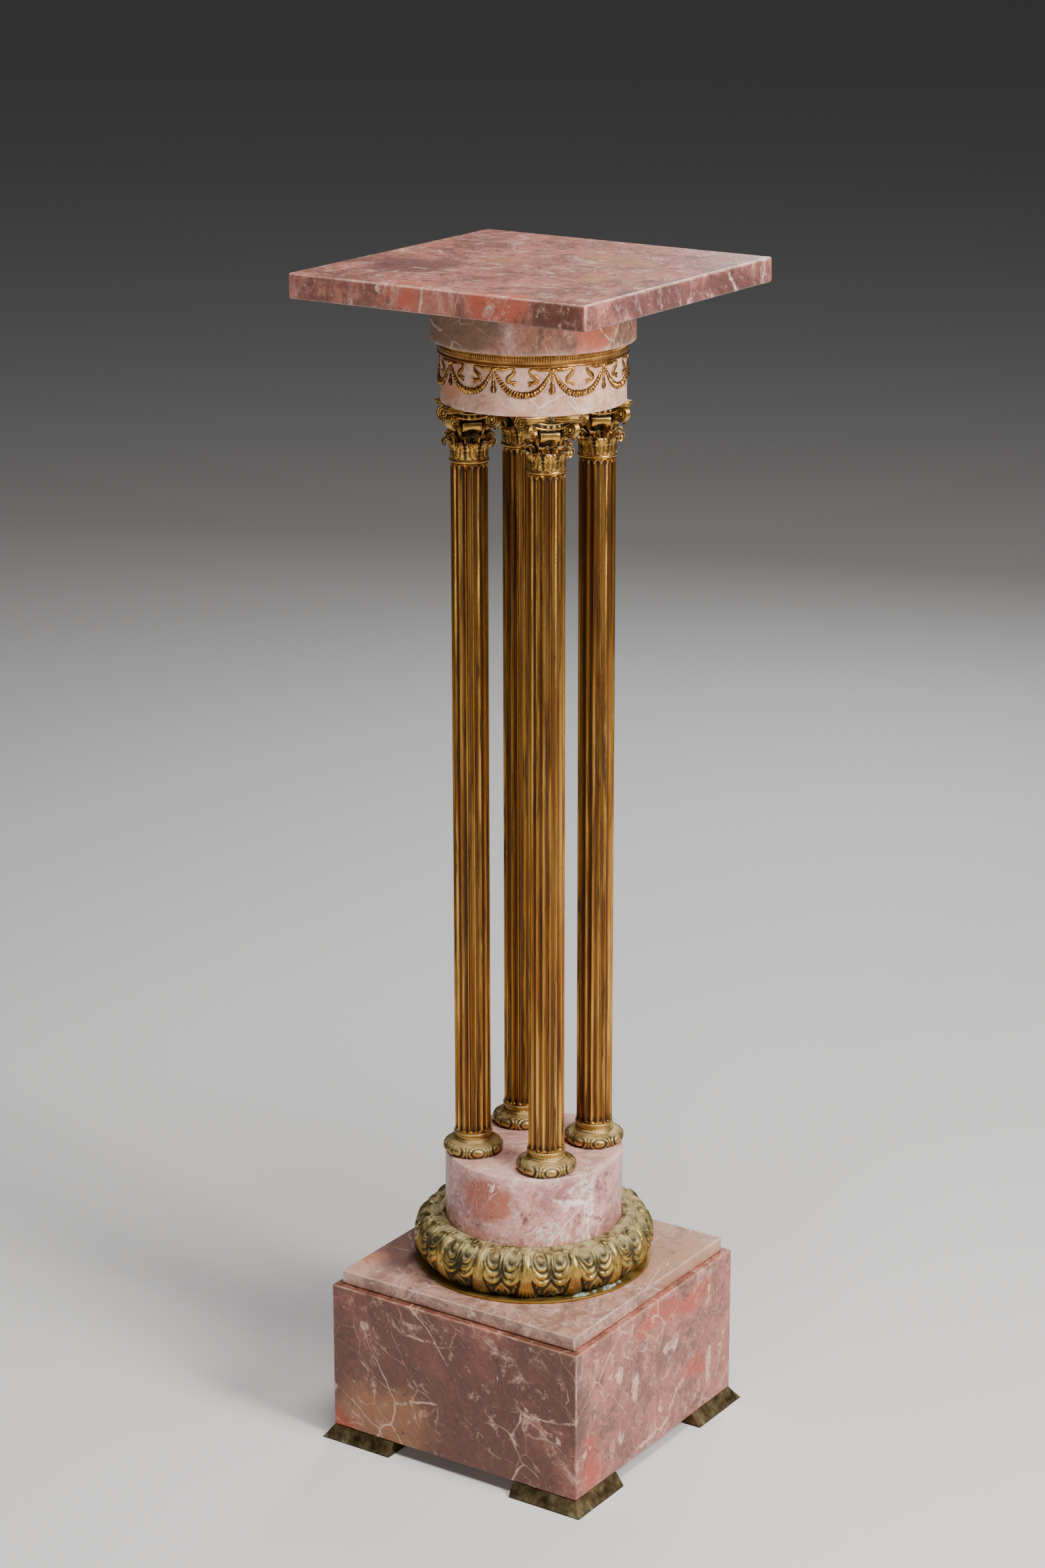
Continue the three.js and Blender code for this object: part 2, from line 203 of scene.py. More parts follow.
# %% Finishes
class Finish:
    """A material, the Principled shader in it, and the one way to add any other node."""

    def __init__(self, name, **constants):
        self.material = bpy.data.materials.new(name)
        self.material.use_nodes = True
        self.tree = self.material.node_tree
        self.shader = self.tree.nodes["Principled BSDF"]
        for socket, value in constants.items():
            self.shader.inputs[socket.replace("_", " ")].default_value = value

    def node(self, kind, settings, inputs, out=0):
        """Adds any node: its settings first, then its sockets; gives back the output asked for."""
        made = self.tree.nodes.new(kind)
        for key, value in settings.items():
            setattr(made, key, value)
        for key, value in inputs.items():
            self.feed(made.inputs[key], value)
        return Value(self, made.outputs[out])

    def feed(self, socket, value):
        """Links a value to a socket, or sets a plain number, colour or vector on it."""
        if isinstance(value, Value):
            self.tree.links.new(value.socket, socket)
        elif isinstance(value, tuple) and len(value) == 3 and socket.type == "RGBA":
            socket.default_value = (*value, 1)
        else:
            socket.default_value = value

    def set(self, **values):
        """Feeds the shader's own sockets."""
        for key, value in values.items():
            self.feed(self.shader.inputs[key.replace("_", " ")], value)

    def place(self):
        """Where a point is on the stand, in metres."""
        return self.node("ShaderNodeTexCoord", {}, {}, "Object")

    def bedding(self, place, turn, length):
        """The place in a stone whose clouds are longer along one leaning line than across it."""
        sockets = {"Vector": place, "Rotation": turn, "Scale": (1.0, 1.0, length)}
        return self.node("ShaderNodeMapping", {"vector_type": "TEXTURE"}, sockets)

    def cracks_of(self, place, scale):
        """How far a point is from the nearest joint in a broken mass of stones."""
        sockets = {"Vector": place, "Scale": scale}
        return self.node("ShaderNodeTexVoronoi", {"feature": "DISTANCE_TO_EDGE"}, sockets)

    def stretched(self, place, scale):
        """A place or a colour times three numbers."""
        return self.node("ShaderNodeVectorMath", {"operation": "MULTIPLY"}, {0: place, 1: scale})

    def shifted(self, place, offset):
        """A place or a colour plus three numbers."""
        return self.node("ShaderNodeVectorMath", {"operation": "ADD"}, {0: place, 1: offset})

    def noise(self, place, scale, detail, roughness, distortion=0.0):
        """Cloudy values round 0.5; scale is the number of clouds in a metre."""
        sockets = {"Vector": place, "Scale": scale, "Detail": detail}
        sockets.update({"Roughness": roughness, "Distortion": distortion})
        return self.node("ShaderNodeTexNoise", {}, sockets)

    def blend(self, factor, first, second):
        """The first colour where factor is 0, the second where it is 1."""
        return self.node("ShaderNodeMix", {"data_type": "RGBA"}, {0: factor, 6: first, 7: second}, 2)

    def attribute(self, name):
        """A value that the mesh carries on its points."""
        return self.node("ShaderNodeAttribute", {"attribute_name": name}, {}, "Fac")

    def bump(self, height, distance, strength):
        """Fine relief, too small for the mesh."""
        sockets = {"Height": height, "Distance": distance, "Strength": strength}
        self.set(Normal=self.node("ShaderNodeBump", {}, sockets))

    def spot(self, place, centre, size):
        """1 at a place on the object, in millimetres, falling to 0 at the given reach."""
        away = self.shifted(place, tuple(-c * mm for c in centre))
        away = self.stretched(away, tuple(1 / (s * mm) for s in size))
        return self.node("ShaderNodeVectorMath", {"operation": "LENGTH"}, {0: away}, "Value").step(1.0, 0.35)


print("finish tools", [name for name in vars(Finish) if not name.startswith("__")])

# %% Colours
def paint(red, green, blue):
    """A colour as a screen shows it, from 0 to 255, turned into the light values that shaders use."""
    def to_light(level):
        share = level / 255
        return share / 12.92 if share <= 0.04045 else ((share + 0.055) / 1.055) ** 2.4
    return tuple(to_light(level) for level in (red, green, blue))


print("middle grey is", round(paint(128, 128, 128)[0], 3))

# %% [markdown]
# ## Marble
#
# Pink breccia marble is a mass of rose and mauve clouds with salmon patches, cut by pale veins and a few
# dark hairlines. Each is noise in the stone's own space, so a vein that leaves one face comes out on the
# next. The veins run along the joints of a broken mass of stones, bent by a slow noise. Edges are paler
# where handling has rubbed them: the mesh carries that as a value named wear. The scales below say how
# many clouds, veins or specks stand in a metre of stone, and bed_length and vein_length how much longer
# they are along the stone's own lean than across it.

# %% Marble finish
crack_colour = paint(66, 44, 38)
pit_colour = paint(92, 62, 52)
rubbed_colour = paint(232, 202, 184)
drift_scale = 16.0
drift_reach = 0.05
cloud_scale = 20
mottle_scale = 58
fog_scale = 52
grain_scale = 210
patch_scale = 12
vein_scale = 13
hair_scale = 31
shard_scale = 62
crumb_scale = 130
crack_scale = 22
pit_scale = 300
bed_length = 2.4
vein_length = 2.6
vein_bend = 0.55
marble_gloss = 0.30


def marble(name, tones, salmon, vein, crack, shift, lean, cloudy, flecks, depth=1.1, spots=(), whites=(),
           zones=()):
    """tones: ground, second ground, patch, vein and speck colours; the shares run from 0 to 1.

    spots are salmon patches and whites are pale shards, each with its middle and reach in millimetres.
    zones have a tint too: broad stains that only colour the ground; on the collar, a stain is also darkened
    as painted shadow.
    """
    ground, second, patch, pale, speck = tones
    finish = Finish(name, Specular_IOR_Level=0.38, Coat_Roughness=0.14, Coat_Weight=0.08)
    here = finish.place()
    place = finish.shifted(here, shift)
    drift_inputs = {"Vector": place, "Scale": drift_scale, "Detail": 4.0}
    drift = finish.node("ShaderNodeTexNoise", {}, drift_inputs, "Color")
    drift = finish.stretched(finish.shifted(drift, (-0.5,) * 3), (drift_reach,) * 3)
    warped_here = finish.shifted(here, drift)
    warped = finish.shifted(warped_here, shift)
    bedded = finish.bedding(warped, lean, bed_length)

    clouds = finish.noise(bedded, cloud_scale, 8, 0.65)
    mottle = finish.noise(warped, mottle_scale, 10, 0.80)
    grain = finish.noise(warped, grain_scale, 6, 0.80)
    shade = clouds * 0.5 + mottle * 0.5
    colour = finish.blend(shade.step(0.45, 0.57) * 0.85, ground, second)
    fog = finish.noise(finish.shifted(bedded, (2.0, 5.0, 1.0)), fog_scale, 10, 0.78)
    colour = finish.blend(fog.step(0.52, 0.63) * cloudy, colour, pale)
    colour = finish.blend(fog.step(0.45, 0.37) * 0.7, colour, second)
    colour = finish.blend(grain.step(0.49, 0.38) * 0.45, colour, second)
    colour = finish.blend(grain.step(0.53, 0.66) * 0.40, colour, pale)

    def marks(places, ragged):
        """Where a colour stands in given places, with ragged edges."""
        total = clouds * 0.0
        for centre, size in places:
            edge = finish.spot(warped_here, centre, size) + (fog - 0.5) * ragged
            edge = edge + (mottle - 0.5) * ragged * 0.5
            total = total.most(edge.step(0.15, 0.80))
        return total

    for centre, size, tint in zones:
        broad_edge = finish.spot(warped_here, centre, size) + (clouds - 0.5) * 2.2
        share = broad_edge.step(0.1, 1.0) * (fog * 2.0 - 0.15).step(0.0, 1.0) * 0.85
        colour = finish.blend(share, colour, tint)

    patches = finish.noise(finish.shifted(bedded, (3.1, 1.7, 0.4)), patch_scale, 7, 0.6)
    red = patches.step(0.66 - 0.16 * salmon, 0.72 - 0.12 * salmon).most(marks(spots, 3.0))
    colour = finish.blend(red * (fog * 3.0 - 0.7).step(0.0, 1.0) * 0.9, colour, patch)

    where = finish.noise(finish.shifted(place, (7.3, 2.2, 5.9)), 14, 3, 0.5).step(0.46, 0.58)
    gentle = finish.shifted(place, finish.stretched(drift, (vein_bend,) * 3))
    long = finish.bedding(gentle, lean, vein_length)
    joints = finish.cracks_of(long, vein_scale)
    lines = joints.step(0.011, 0.001) * where * fog.step(0.38, 0.50) * vein
    fine = finish.cracks_of(finish.shifted(long, (1.3, 4.4, 8.8)), hair_scale)
    hairs = fine.step(0.020, 0.0) * where.most(0.25) * fog.step(0.42, 0.56) * 0.65 * vein
    colour = finish.blend(lines.most(hairs), colour, pale)

    shards = finish.noise(finish.shifted(bedded, (9.0, 0.3, 2.6)), shard_scale, 5, 0.62)
    crumbs = finish.noise(finish.shifted(warped, (4.0, 1.3, 7.6)), crumb_scale, 4, 0.60)
    broken = shards.step(0.69 - 0.07 * flecks, 0.71 - 0.07 * flecks) * fog.step(0.40, 0.52)
    broken = broken.most(crumbs.step(0.66, 0.70) * flecks).most(marks(whites, 4.0) * 0.8)
    colour = finish.blend(broken * (grain * 4.0 - 1.3).step(0.0, 1.0) * 0.85, colour, speck)

    dark = finish.noise(finish.shifted(warped, (5.5, 6.1, 1.9)), crack_scale, 6, 0.65, 0.6)
    cracks = abs(dark - 0.47).step(0.012, 0.0) * mottle.step(0.47, 0.58) * crack
    colour = finish.blend(cracks, colour, crack_colour)
    pits = finish.noise(place, pit_scale, 2, 0.5).step(0.66, 0.74) * crack * 0.6
    colour = finish.blend(pits, colour, pit_colour)

    rubbed = finish.attribute("wear") * finish.noise(place, 120, 3, 0.6).step(0.25, 0.50)
    colour = finish.blend(rubbed * 0.7, colour, rubbed_colour)

    colour = finish.node("ShaderNodeGamma", {}, {"Color": colour, "Gamma": depth})
    haze = finish.noise(place, 18, 5, 0.6)
    finish.set(Base_Color=colour, Roughness=marble_gloss + haze * 0.2 - 0.08 + rubbed * 0.15)
    finish.bump(mottle * 0.4 + cracks * -1.2 + pits * -0.8, 0.25 * mm, 0.35)
    return finish.material


print("marble recipe ready")

# %% [markdown]
# ## Six stones
#
# Every piece of marble was cut from its own block, so each has its own colours, its own place in the
# noise and its own lean. The patches, white shards and stains are placed where they stand on the
# real stand: middle and reach, in millimetres from the middle of the stand's foot.

# %% Six marbles
rose_tones = (
    paint(180, 116, 103), paint(112, 75, 70), paint(184, 94, 74), paint(226, 194, 176), paint(230, 206, 190),
)
ochre = paint(170, 122, 86)
brown = paint(98, 62, 47)
mauve = paint(108, 74, 72)
deep_mauve = paint(84, 56, 58)
slab_marble = marble(
    "slab_marble", rose_tones,
    0.1, 0.6, 0.9, (0.02, 0.11, 0.3), lean=(0.3, 0.2, 0.0), cloudy=0.40, depth=1.0, flecks=0.45,
    spots=[((62, -150, 1084), (40, 20, 40))],
    whites=[((-15, -150, 1084), (2.5, 16, 26)), ((150, 84, 1084), (20, 3, 20))],
    zones=[((50, 60, 1095), (44, 26, 30), ochre), ((-34, 6, 1095), (40, 24, 30), ochre),
           ((84, -30, 1095), (26, 30, 30), ochre), ((-90, -60, 1095), (60, 70, 30), mauve),
           ((124, -150, 1084), (46, 30, 40), brown), ((150, 0, 1078), (22, 210, 30), deep_mauve)],
)
collar_marble = marble(
    "collar_marble",
    (paint(184, 130, 112), paint(112, 94, 80), paint(196, 108, 86), paint(232, 206, 184),
     paint(200, 190, 164)),
    0.2, 0.8, 0.4, (0.3, 0.02, 0.1), lean=(0.5, 0.9, 0.0), cloudy=0.55, flecks=0.2,
    spots=[((84, -34, 1052), (24, 24, 60))],
    # The grey-olive stain on the collar's left front is partly the stone's colour and partly painted shadow
    # of the slab above it.
    zones=[((-30, -86, 1050), (80, 60, 50), paint(128, 112, 92))],
)
frieze_marble = marble(
    "frieze_marble",
    (paint(228, 182, 158), paint(190, 138, 116), paint(208, 142, 112), paint(248, 232, 214),
     paint(238, 228, 216)),
    0.45, 0.45, 0.45, (0.1, 0.2, 0.0), lean=(0.4, 0.8, 0.0), cloudy=0.55, depth=1.0, flecks=0.35,
    spots=[((-40, -70, 1000), (26, 26, 14)), ((30, -80, 985), (20, 30, 7))],
)
drum_marble = marble(
    "drum_marble",
    (paint(216, 154, 144), paint(150, 96, 92), paint(168, 84, 58), paint(250, 230, 218),
     paint(250, 238, 228)),
    0.15, 0.9, 1.0, (0.0, 0.0, 0.0), lean=(-0.29, 0.47, 0.0), cloudy=0.6, depth=0.95, flecks=0.5,
    spots=[((0, -82, 256), (40, 34, 30)), ((-66, -48, 215), (10, 12, 44))],
    whites=[((76, -30, 238), (6, 9, 24)), ((64, -52, 248), (7, 7, 13)), ((36, -74, 203), (32, 16, 6))],
)
step_marble = marble(
    "step_marble",
    (paint(192, 146, 127), paint(134, 97, 85), paint(180, 112, 86), *rose_tones[3:]),
    0.15, 0.7, 0.7, (0.4, 0.1, 0.2), lean=(1.1, 0.6, 0.0), cloudy=0.65, depth=0.95, flecks=0.8,
    zones=[((-110, -40, 172), (60, 90, 40), mauve), ((110, 60, 172), (50, 90, 40), ochre)],
)
block_marble = marble(
    "block_marble",
    (paint(184, 118, 104), paint(122, 80, 68), paint(184, 80, 60), paint(222, 188, 164),
     paint(236, 210, 190)),
    0.12, 0.9, 0.9, (0.15, 0.4, 0.6), lean=(-0.4, -0.785, 0.0), cloudy=0.35, depth=1.15, flecks=0.35,
    spots=[((135, 30, 134), (30, 90, 16)), ((135, -112, 36), (30, 18, 40)), ((135, 70, 60), (20, 34, 20))],
    whites=[((135, -62, 112), (12, 9, 15)), ((135, -40, 86), (10, 6, 22)), ((135, 24, 100), (10, 16, 7)),
            ((135, -56, 48), (10, 9, 11)), ((135, 96, 60), (10, 7, 28)), ((-100, -135, 118), (8, 12, 7))],
    zones=[((-10, -135, 84), (260, 34, 170), brown), ((-80, -135, 34), (80, 30, 46), ochre)],
)
print("marbles", [m.name for m in bpy.data.materials])

# %% [markdown]
# ## Metals
#
# The columns and mounts are bronze, once gilded. Gold survives on the high points that hands and cloths
# reach. The hollows are painted dark: partly old polish and soot, partly painted shade where light would
# not reach. The meshes carry their own depth, a value named hollow that runs from 0 on the crests to 1 in
# the deepest places, under overhangs and where parts meet, so the darkening follows the carving exactly.
# Another value, upward, is 1 on faces that look up, where pale dust lies.

# %% Metal finish
soot_scale = 70
speck_scale = 420
streak_scale = 260
wide_streak_scale = 90
lacquer_scale = 130
streak_length = 0.05
powder_colour = paint(206, 188, 150)
verdigris_colour = paint(116, 128, 92)


def old_metal(name, bright, dull, dirt_and_shade, streak, grime_and_shade, smooth, green=0.0, dust=0.0, bump=0.25,
              dust_colour=powder_colour, lacquer=None):
    """bright on crests, dull on the open metal, soot and painted shade in the hollows, with streaks that run
    downwards.
    """
    finish = Finish(name, Specular_IOR_Level=0.5, Coat_Roughness=0.3)
    place = finish.place()
    hollow = finish.attribute("hollow")
    tall = finish.stretched(place, (1.0, 1.0, streak_length))
    mottle = finish.noise(tall if streak > 0.5 else place, soot_scale, 6, 0.65)
    fine = finish.noise(place, speck_scale, 4, 0.6)
    runs = finish.noise(tall, streak_scale, 5, 0.65)
    wide_runs = finish.noise(tall, wide_streak_scale, 4, 0.6)

    colour = finish.blend(mottle.step(0.35, 0.65), dull, bright)
    if lacquer:
        old_coat = finish.noise(finish.shifted(tall, (3.0, 1.0, 0.0)), lacquer_scale, 4, 0.6)
        colour = finish.blend(old_coat.step(0.44, 0.60) * 0.75, colour, lacquer)
    tarnish = runs.step(0.50, 0.66).most(wide_runs.step(0.50, 0.66) * 0.8) * streak
    colour = finish.blend(tarnish, colour, dirt_and_shade)
    # Painted shade: the deeper a point lies by the hollow value, the more it takes the dark colour, partly
    # old polish and soot, partly shade that the lamps would cast.
    depth = hollow + (mottle - 0.5) * 0.5
    soiled_and_shaded = depth.step(0.25, 0.80) * grime_and_shade
    colour = finish.blend(soiled_and_shaded, colour, dirt_and_shade)
    crests = depth.step(0.10, -0.10) * 0.7
    colour = finish.blend(crests, colour, bright)
    verdigris = mottle.step(0.54, 0.66) * depth.step(0.2, 0.7) * green
    colour = finish.blend(verdigris, colour, verdigris_colour)
    specks = fine.step(0.62, 0.74) * 0.5
    colour = finish.blend(specks, colour, dirt_and_shade)
    powder = finish.attribute("upward").step(0.20, 0.95) * mottle.step(0.30, 0.62) * dust
    colour = finish.blend(powder, colour, dust_colour)

    rough = smooth + soiled_and_shaded * 0.35 + tarnish * 0.2 + (fine - 0.5) * 0.12 + verdigris * 0.3 + powder * 0.4
    shine = 1.0 - soiled_and_shaded * 0.45 - verdigris * 0.6 - tarnish * 0.2 - powder * 0.8
    finish.set(Base_Color=colour, Roughness=rough, Metallic=shine)
    finish.bump(fine * 0.5 + mottle * 0.5, bump * mm, 0.5)
    return finish.material


print("metal recipe ready")

# %% [markdown]
# ## Eight metals
#
# The shafts are brass under a brown lacquer that has worn off in streaks. The castings are bronze: gilt
# on the capitals, garlands and band, dusty on the bases, greenish on the leaf ring and its plate, and
# nearly black on the feet, which were never gilded. The three colours are the crests, the open metal and
# the dark colour of soot and old polish, which also serves as painted shade in the hollows.

# %% Eight metals
shaft_brass = old_metal(
    "shaft_brass", paint(226, 168, 78), paint(146, 92, 36), paint(46, 24, 10),
    streak=0.85, grime_and_shade=1.0, smooth=0.17, lacquer=paint(126, 68, 26),
)
capital_bronze = old_metal(
    "capital_bronze", paint(212, 164, 84), paint(132, 92, 44), paint(38, 24, 12),
    streak=0.1, grime_and_shade=1.0, smooth=0.29, green=0.1, dust=0.8, bump=0.35,
)
base_bronze = old_metal(
    "base_bronze", paint(206, 170, 98), paint(128, 104, 60), paint(42, 33, 18),
    streak=0.1, grime_and_shade=1.0, smooth=0.36, green=0.8, dust=0.55, bump=0.9, dust_colour=paint(178, 160, 122),
)
band_bronze = old_metal(
    "band_bronze", paint(196, 140, 72), paint(128, 84, 40), paint(42, 26, 13),
    streak=0.2, grime_and_shade=1.0, smooth=0.31,
)
garland_bronze = old_metal(
    "garland_bronze", paint(226, 168, 86), paint(166, 110, 50), paint(42, 25, 12),
    streak=0.1, grime_and_shade=1.0, smooth=0.28, bump=0.4,
)
leaf_bronze = old_metal(
    "leaf_bronze", paint(202, 164, 84), paint(116, 102, 62), paint(54, 46, 28),
    streak=0.1, grime_and_shade=0.92, smooth=0.36, green=0.8, dust=0.62, bump=0.6, dust_colour=paint(180, 173, 134),
)
plate_bronze = old_metal(
    "plate_bronze", paint(184, 148, 66), paint(132, 106, 48), paint(74, 58, 32),
    streak=0.2, grime_and_shade=0.9, smooth=0.48, green=0.8, dust=0.35, bump=0.4, dust_colour=paint(150, 138, 96),
)
foot_bronze = old_metal(
    "foot_bronze", paint(112, 94, 60), paint(76, 62, 40), paint(40, 31, 20),
    streak=0.4, grime_and_shade=0.8, smooth=0.46, green=0.6, dust=0.35, bump=0.7, dust_colour=paint(150, 132, 98),
)
print("metals", len(bpy.data.materials), "finishes so far")

# %% [markdown]
# ## Making surfaces
#
# Most of the stand is turned or cast round an axis, so most pieces start as a grid of points: rows go up
# or along, columns go round. All drawing is in millimetres.

# %% Grids of points
def ring_angles(count):
    """Evenly spaced angles once round."""
    return np.arange(count) * 2 * math.pi / count


def spread(x, y, z):
    """A grid of points from three parts, each a number, a row, a column or a whole grid."""
    return np.stack(np.broadcast_arrays(x, y, z), -1)


def around(radius, height, columns):
    """Points round the upright axis: one row for each radius and height."""
    angles = ring_angles(columns)
    return spread(radius * np.cos(angles), radius * np.sin(angles), height)


print("a ring of four:", around(np.ones((1, 1)), 0, 4).round(1).tolist())

# %% [markdown]
# One class gathers grids and copies of other shapes. It turns them into one smooth mesh, welds the points
# that meet, and stores the values that the finishes read. It also hangs the piece on its body, gives it
# its finish and hides the measured solid that it stands for.

# %% Shapes and pieces
weld_reach = 0.000002


class Shape:
    """Points and faces gathered from several grids, with one value per point for the finish."""

    def __init__(self):
        self.points = []
        self.faces = []
        self.values = []
        self.count = 0

    def grid(self, points, values=None, round_columns=True, round_rows=False, cap=False, sides=False):
        """points: rows by columns by three. Rows climb; columns turn anticlockwise seen from above."""
        rows, columns = points.shape[:2]
        index = np.arange(rows * columns).reshape(rows, columns) + self.count
        down = index if round_rows else index[:-1]
        up = np.roll(index, -1, 0) if round_rows else index[1:]
        if round_columns:
            quads = np.stack([down, np.roll(down, -1, 1), np.roll(up, -1, 1), up], -1)
        else:
            quads = np.stack([down[:, :-1], down[:, 1:], up[:, 1:], up[:, :-1]], -1)
        self.faces.extend(quads.reshape(-1, 4).tolist())
        if cap:
            self.faces.append(index[0][::-1].tolist())
            self.faces.append(index[-1].tolist())
        if sides:
            self.faces.append(index[:, 0].tolist())
            self.faces.append(index[:, -1][::-1].tolist())
        if values is None:
            values = np.zeros(rows * columns)
        self.points.append(points.reshape(-1, 3))
        self.values.append(np.asarray(values, float).reshape(-1))
        self.count += rows * columns
        return self

    def add(self, other, turn=0.0, offset=(0, 0, 0)):
        """Adds a copy of another shape, turned about the upright axis and moved."""
        points, faces, values = other.arrays()
        cos, sin = math.cos(turn), math.sin(turn)
        spin = np.array([[cos, sin, 0], [-sin, cos, 0], [0, 0, 1]])
        self.points.append(points @ spin + np.array(offset, float))
        self.faces.extend([[i + self.count for i in face] for face in faces])
        self.values.append(values)
        self.count += len(points)
        return self

    def arrays(self):
        """All points, faces and values so far."""
        return np.concatenate(self.points), self.faces, np.concatenate(self.values)

    def piece(self, name, material, slot, stands_for, value_name="hollow", sharp=None):
        """Makes the object in metres, gives it its finish and hides the measured solids that it stands for.
        """
        points, faces, values = self.arrays()
        mesh = bpy.data.meshes.new(name)
        mesh.from_pydata((points * mm).tolist(), [], faces)
        layer = mesh.attributes.new(value_name, "FLOAT", "POINT")
        layer.data.foreach_set("value", values.astype(np.float32))
        welder = bmesh.new()
        welder.from_mesh(mesh)
        bmesh.ops.remove_doubles(welder, verts=welder.verts, dist=weld_reach)
        welder.to_mesh(mesh)
        welder.free()
        mesh.polygons.foreach_set("use_smooth", [True] * len(mesh.polygons))
        normals = np.empty(len(mesh.vertices) * 3, dtype=np.float32)
        mesh.vertex_normals.foreach_get("vector", normals)
        layer = mesh.attributes.new("upward", "FLOAT", "POINT")
        layer.data.foreach_set("value", np.ascontiguousarray(normals[2::3]))
        mesh.materials.append(material)
        if sharp:
            mesh.set_sharp_from_angle(angle=math.radians(sharp))
        made = bpy.data.objects.new(name, mesh)
        bpy.context.scene.collection.objects.link(made)
        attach(made, "root")
        if stands_for:
            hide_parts(*stands_for)
        return made


print("pieces are welded within", weld_reach, "metres")

# %% [markdown]
# Turned forms start as a profile, a list of radius and height. Its corners are rounded first, because no
# real edge is sharp, and a soft edge catches a line of light.

# %% Profiles
def ease(low, high, x):
    """0 below low, 1 above high, and a smooth climb between; low may be the larger."""
    t = np.clip((np.asarray(x, float) - low) / (high - low), 0, 1)
    return t * t * (3 - 2 * t)


def turned(profile, columns):
    """A turned form: profile is a list of radius and height."""
    profile = np.asarray(profile, float)
    return around(profile[:, :1], profile[:, 1:2], columns)


def rounded(profile, radius, steps):
    """Turns each inner corner of a profile into a small arc; radius is one number or one a corner."""
    profile = [np.asarray(p, float) for p in profile]
    sizes = radius if isinstance(radius, (list, tuple)) else [radius] * len(profile)
    out = [profile[0]]
    for before, here, after, size in zip(profile, profile[1:], profile[2:], sizes[1:]):
        a, b = before - here, after - here
        reach = min(size, np.linalg.norm(a) * 0.48, np.linalg.norm(b) * 0.48)
        start, end = here + a / np.linalg.norm(a) * reach, here + b / np.linalg.norm(b) * reach
        for t in np.linspace(0, 1, steps + 1):
            out.append((1 - t) ** 2 * start + 2 * t * (1 - t) * here + t * t * end)
    out.append(profile[-1])
    return np.array(out)


print("a rounded corner has", len(rounded([(0, 0), (1, 0), (1, 1)], 0.2, 4)), "points")

# %% [markdown]
# Every piece asks the measured solids for its size and place, so a change there moves the looks too.

# %% Sizes from the solids
def corners_of(name):
    """The lowest and highest corner of a measured solid, in millimetres."""
    low, high = (np.array(corner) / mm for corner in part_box(name))
    return low, high


def foot_point(name):
    """The middle of a measured solid's underside."""
    low, high = corners_of(name)
    middle = (low + high) / 2
    return middle[0], middle[1], low[2]


def radius_of(name):
    """Half the width of a measured solid."""
    low, high = corners_of(name)
    return (high[0] - low[0]) / 2


print("the first column stands at", [round(float(c), 1) for c in foot_point("shaft_1")[:2]])

# %% [markdown]
# ## The square marble blocks
#
# The slab, the step and the block were sawn, ground flat and polished, and their edges eased with a
# stone. Long use has knocked small chips from the arrises. Each one is a box with extra rows near its
# edges. The edge rows are rounded, and noise bites into the rounding here and there.

# %% Square blocks
whole_turn = 6.28
octave_share = 0.6
wave_count = 6
edge_steps = [0.0, 0.12, 0.3, 0.5, 0.7, 0.88, 1.0, 1.5, 2.4]
wear_width = 2.2
chip_wave = 46
nick_wave = 13
middle_rows = 50


def lattice_noise(points, scale, seed):
    """Smooth seeded noise from -1 to 1 at points, one wave about every scale millimetres."""
    rng = np.random.default_rng(seed)
    total = np.zeros(len(points))
    for octave in range(3):
        turn = rng.normal(size=(wave_count, 3))
        turn /= np.linalg.norm(turn, axis=1)[:, None]
        phase = rng.uniform(0, whole_turn, wave_count)
        wave = points @ turn.T * (2 * math.pi * 2 ** octave / scale) + phase
        total += np.sin(wave).sum(1) / wave_count * octave_share ** octave
    return total


def edge_positions(half, radius, inner_rows):
    """Positions along one side of a block: close together by the edge, wide apart in the middle."""
    edge = [-half + radius * share for share in edge_steps]
    inner = list(np.linspace(edge[-1], -edge[-1], inner_rows + 2)[1:-1])
    return np.array(edge + inner + [-v for v in reversed(edge)])


def stone_block(name, material, node, radius, chip, seed, upright_rows=6):
    """A rounded box with worn arrises, the size of its measured solid."""
    low, high = corners_of(node)
    half = (high - low) / 2
    middle = (low + high) / 2
    inner_rows = (middle_rows, middle_rows, upright_rows)
    sides = [edge_positions(half[axis], radius, inner_rows[axis]) for axis in range(3)]
    shape = Shape()
    for axis in range(3):
        first, second = (axis + 1) % 3, (axis + 2) % 3
        for side in (-1, 1):
            rows, columns = sides[second], sides[first]
            points = np.zeros((len(rows), len(columns), 3))
            points[..., second] = rows[:, None]
            points[..., first] = columns[None, :]
            points[..., axis] = side * half[axis]
            if side < 0:
                points = points[:, ::-1]
            shape.grid(points, round_columns=False)
    points = shape.arrays()[0]
    bite = lattice_noise(points, chip_wave, seed) * 0.6 + lattice_noise(points, nick_wave, seed + 1) * 0.5
    swell = np.clip(bite, 0, None) ** 2 * chip
    reach = (radius + swell)[:, None]
    core = np.clip(points, -(half - reach), half - reach)
    away = points - core
    length = np.maximum(np.linalg.norm(away, axis=1), 1e-9)
    edge = (np.abs(away) > 1e-6).sum(1) > 1
    shrunk = core + away / length[:, None] * np.minimum(length[:, None], reach)
    points = np.where(edge[:, None], shrunk, points)
    gap = np.sort(half - np.abs(points), axis=1)
    handled = ease(-half[2], half[2] * 0.6, points[:, 2])
    wear = ease(wear_width, 0.2, gap[:, 1]) * (0.40 + 0.60 * ease(-0.2, 0.6, bite)) * handled
    shape.points = [points + middle]
    shape.values = [wear]
    return shape.piece(name, material, "rose_marble", [node], "wear")


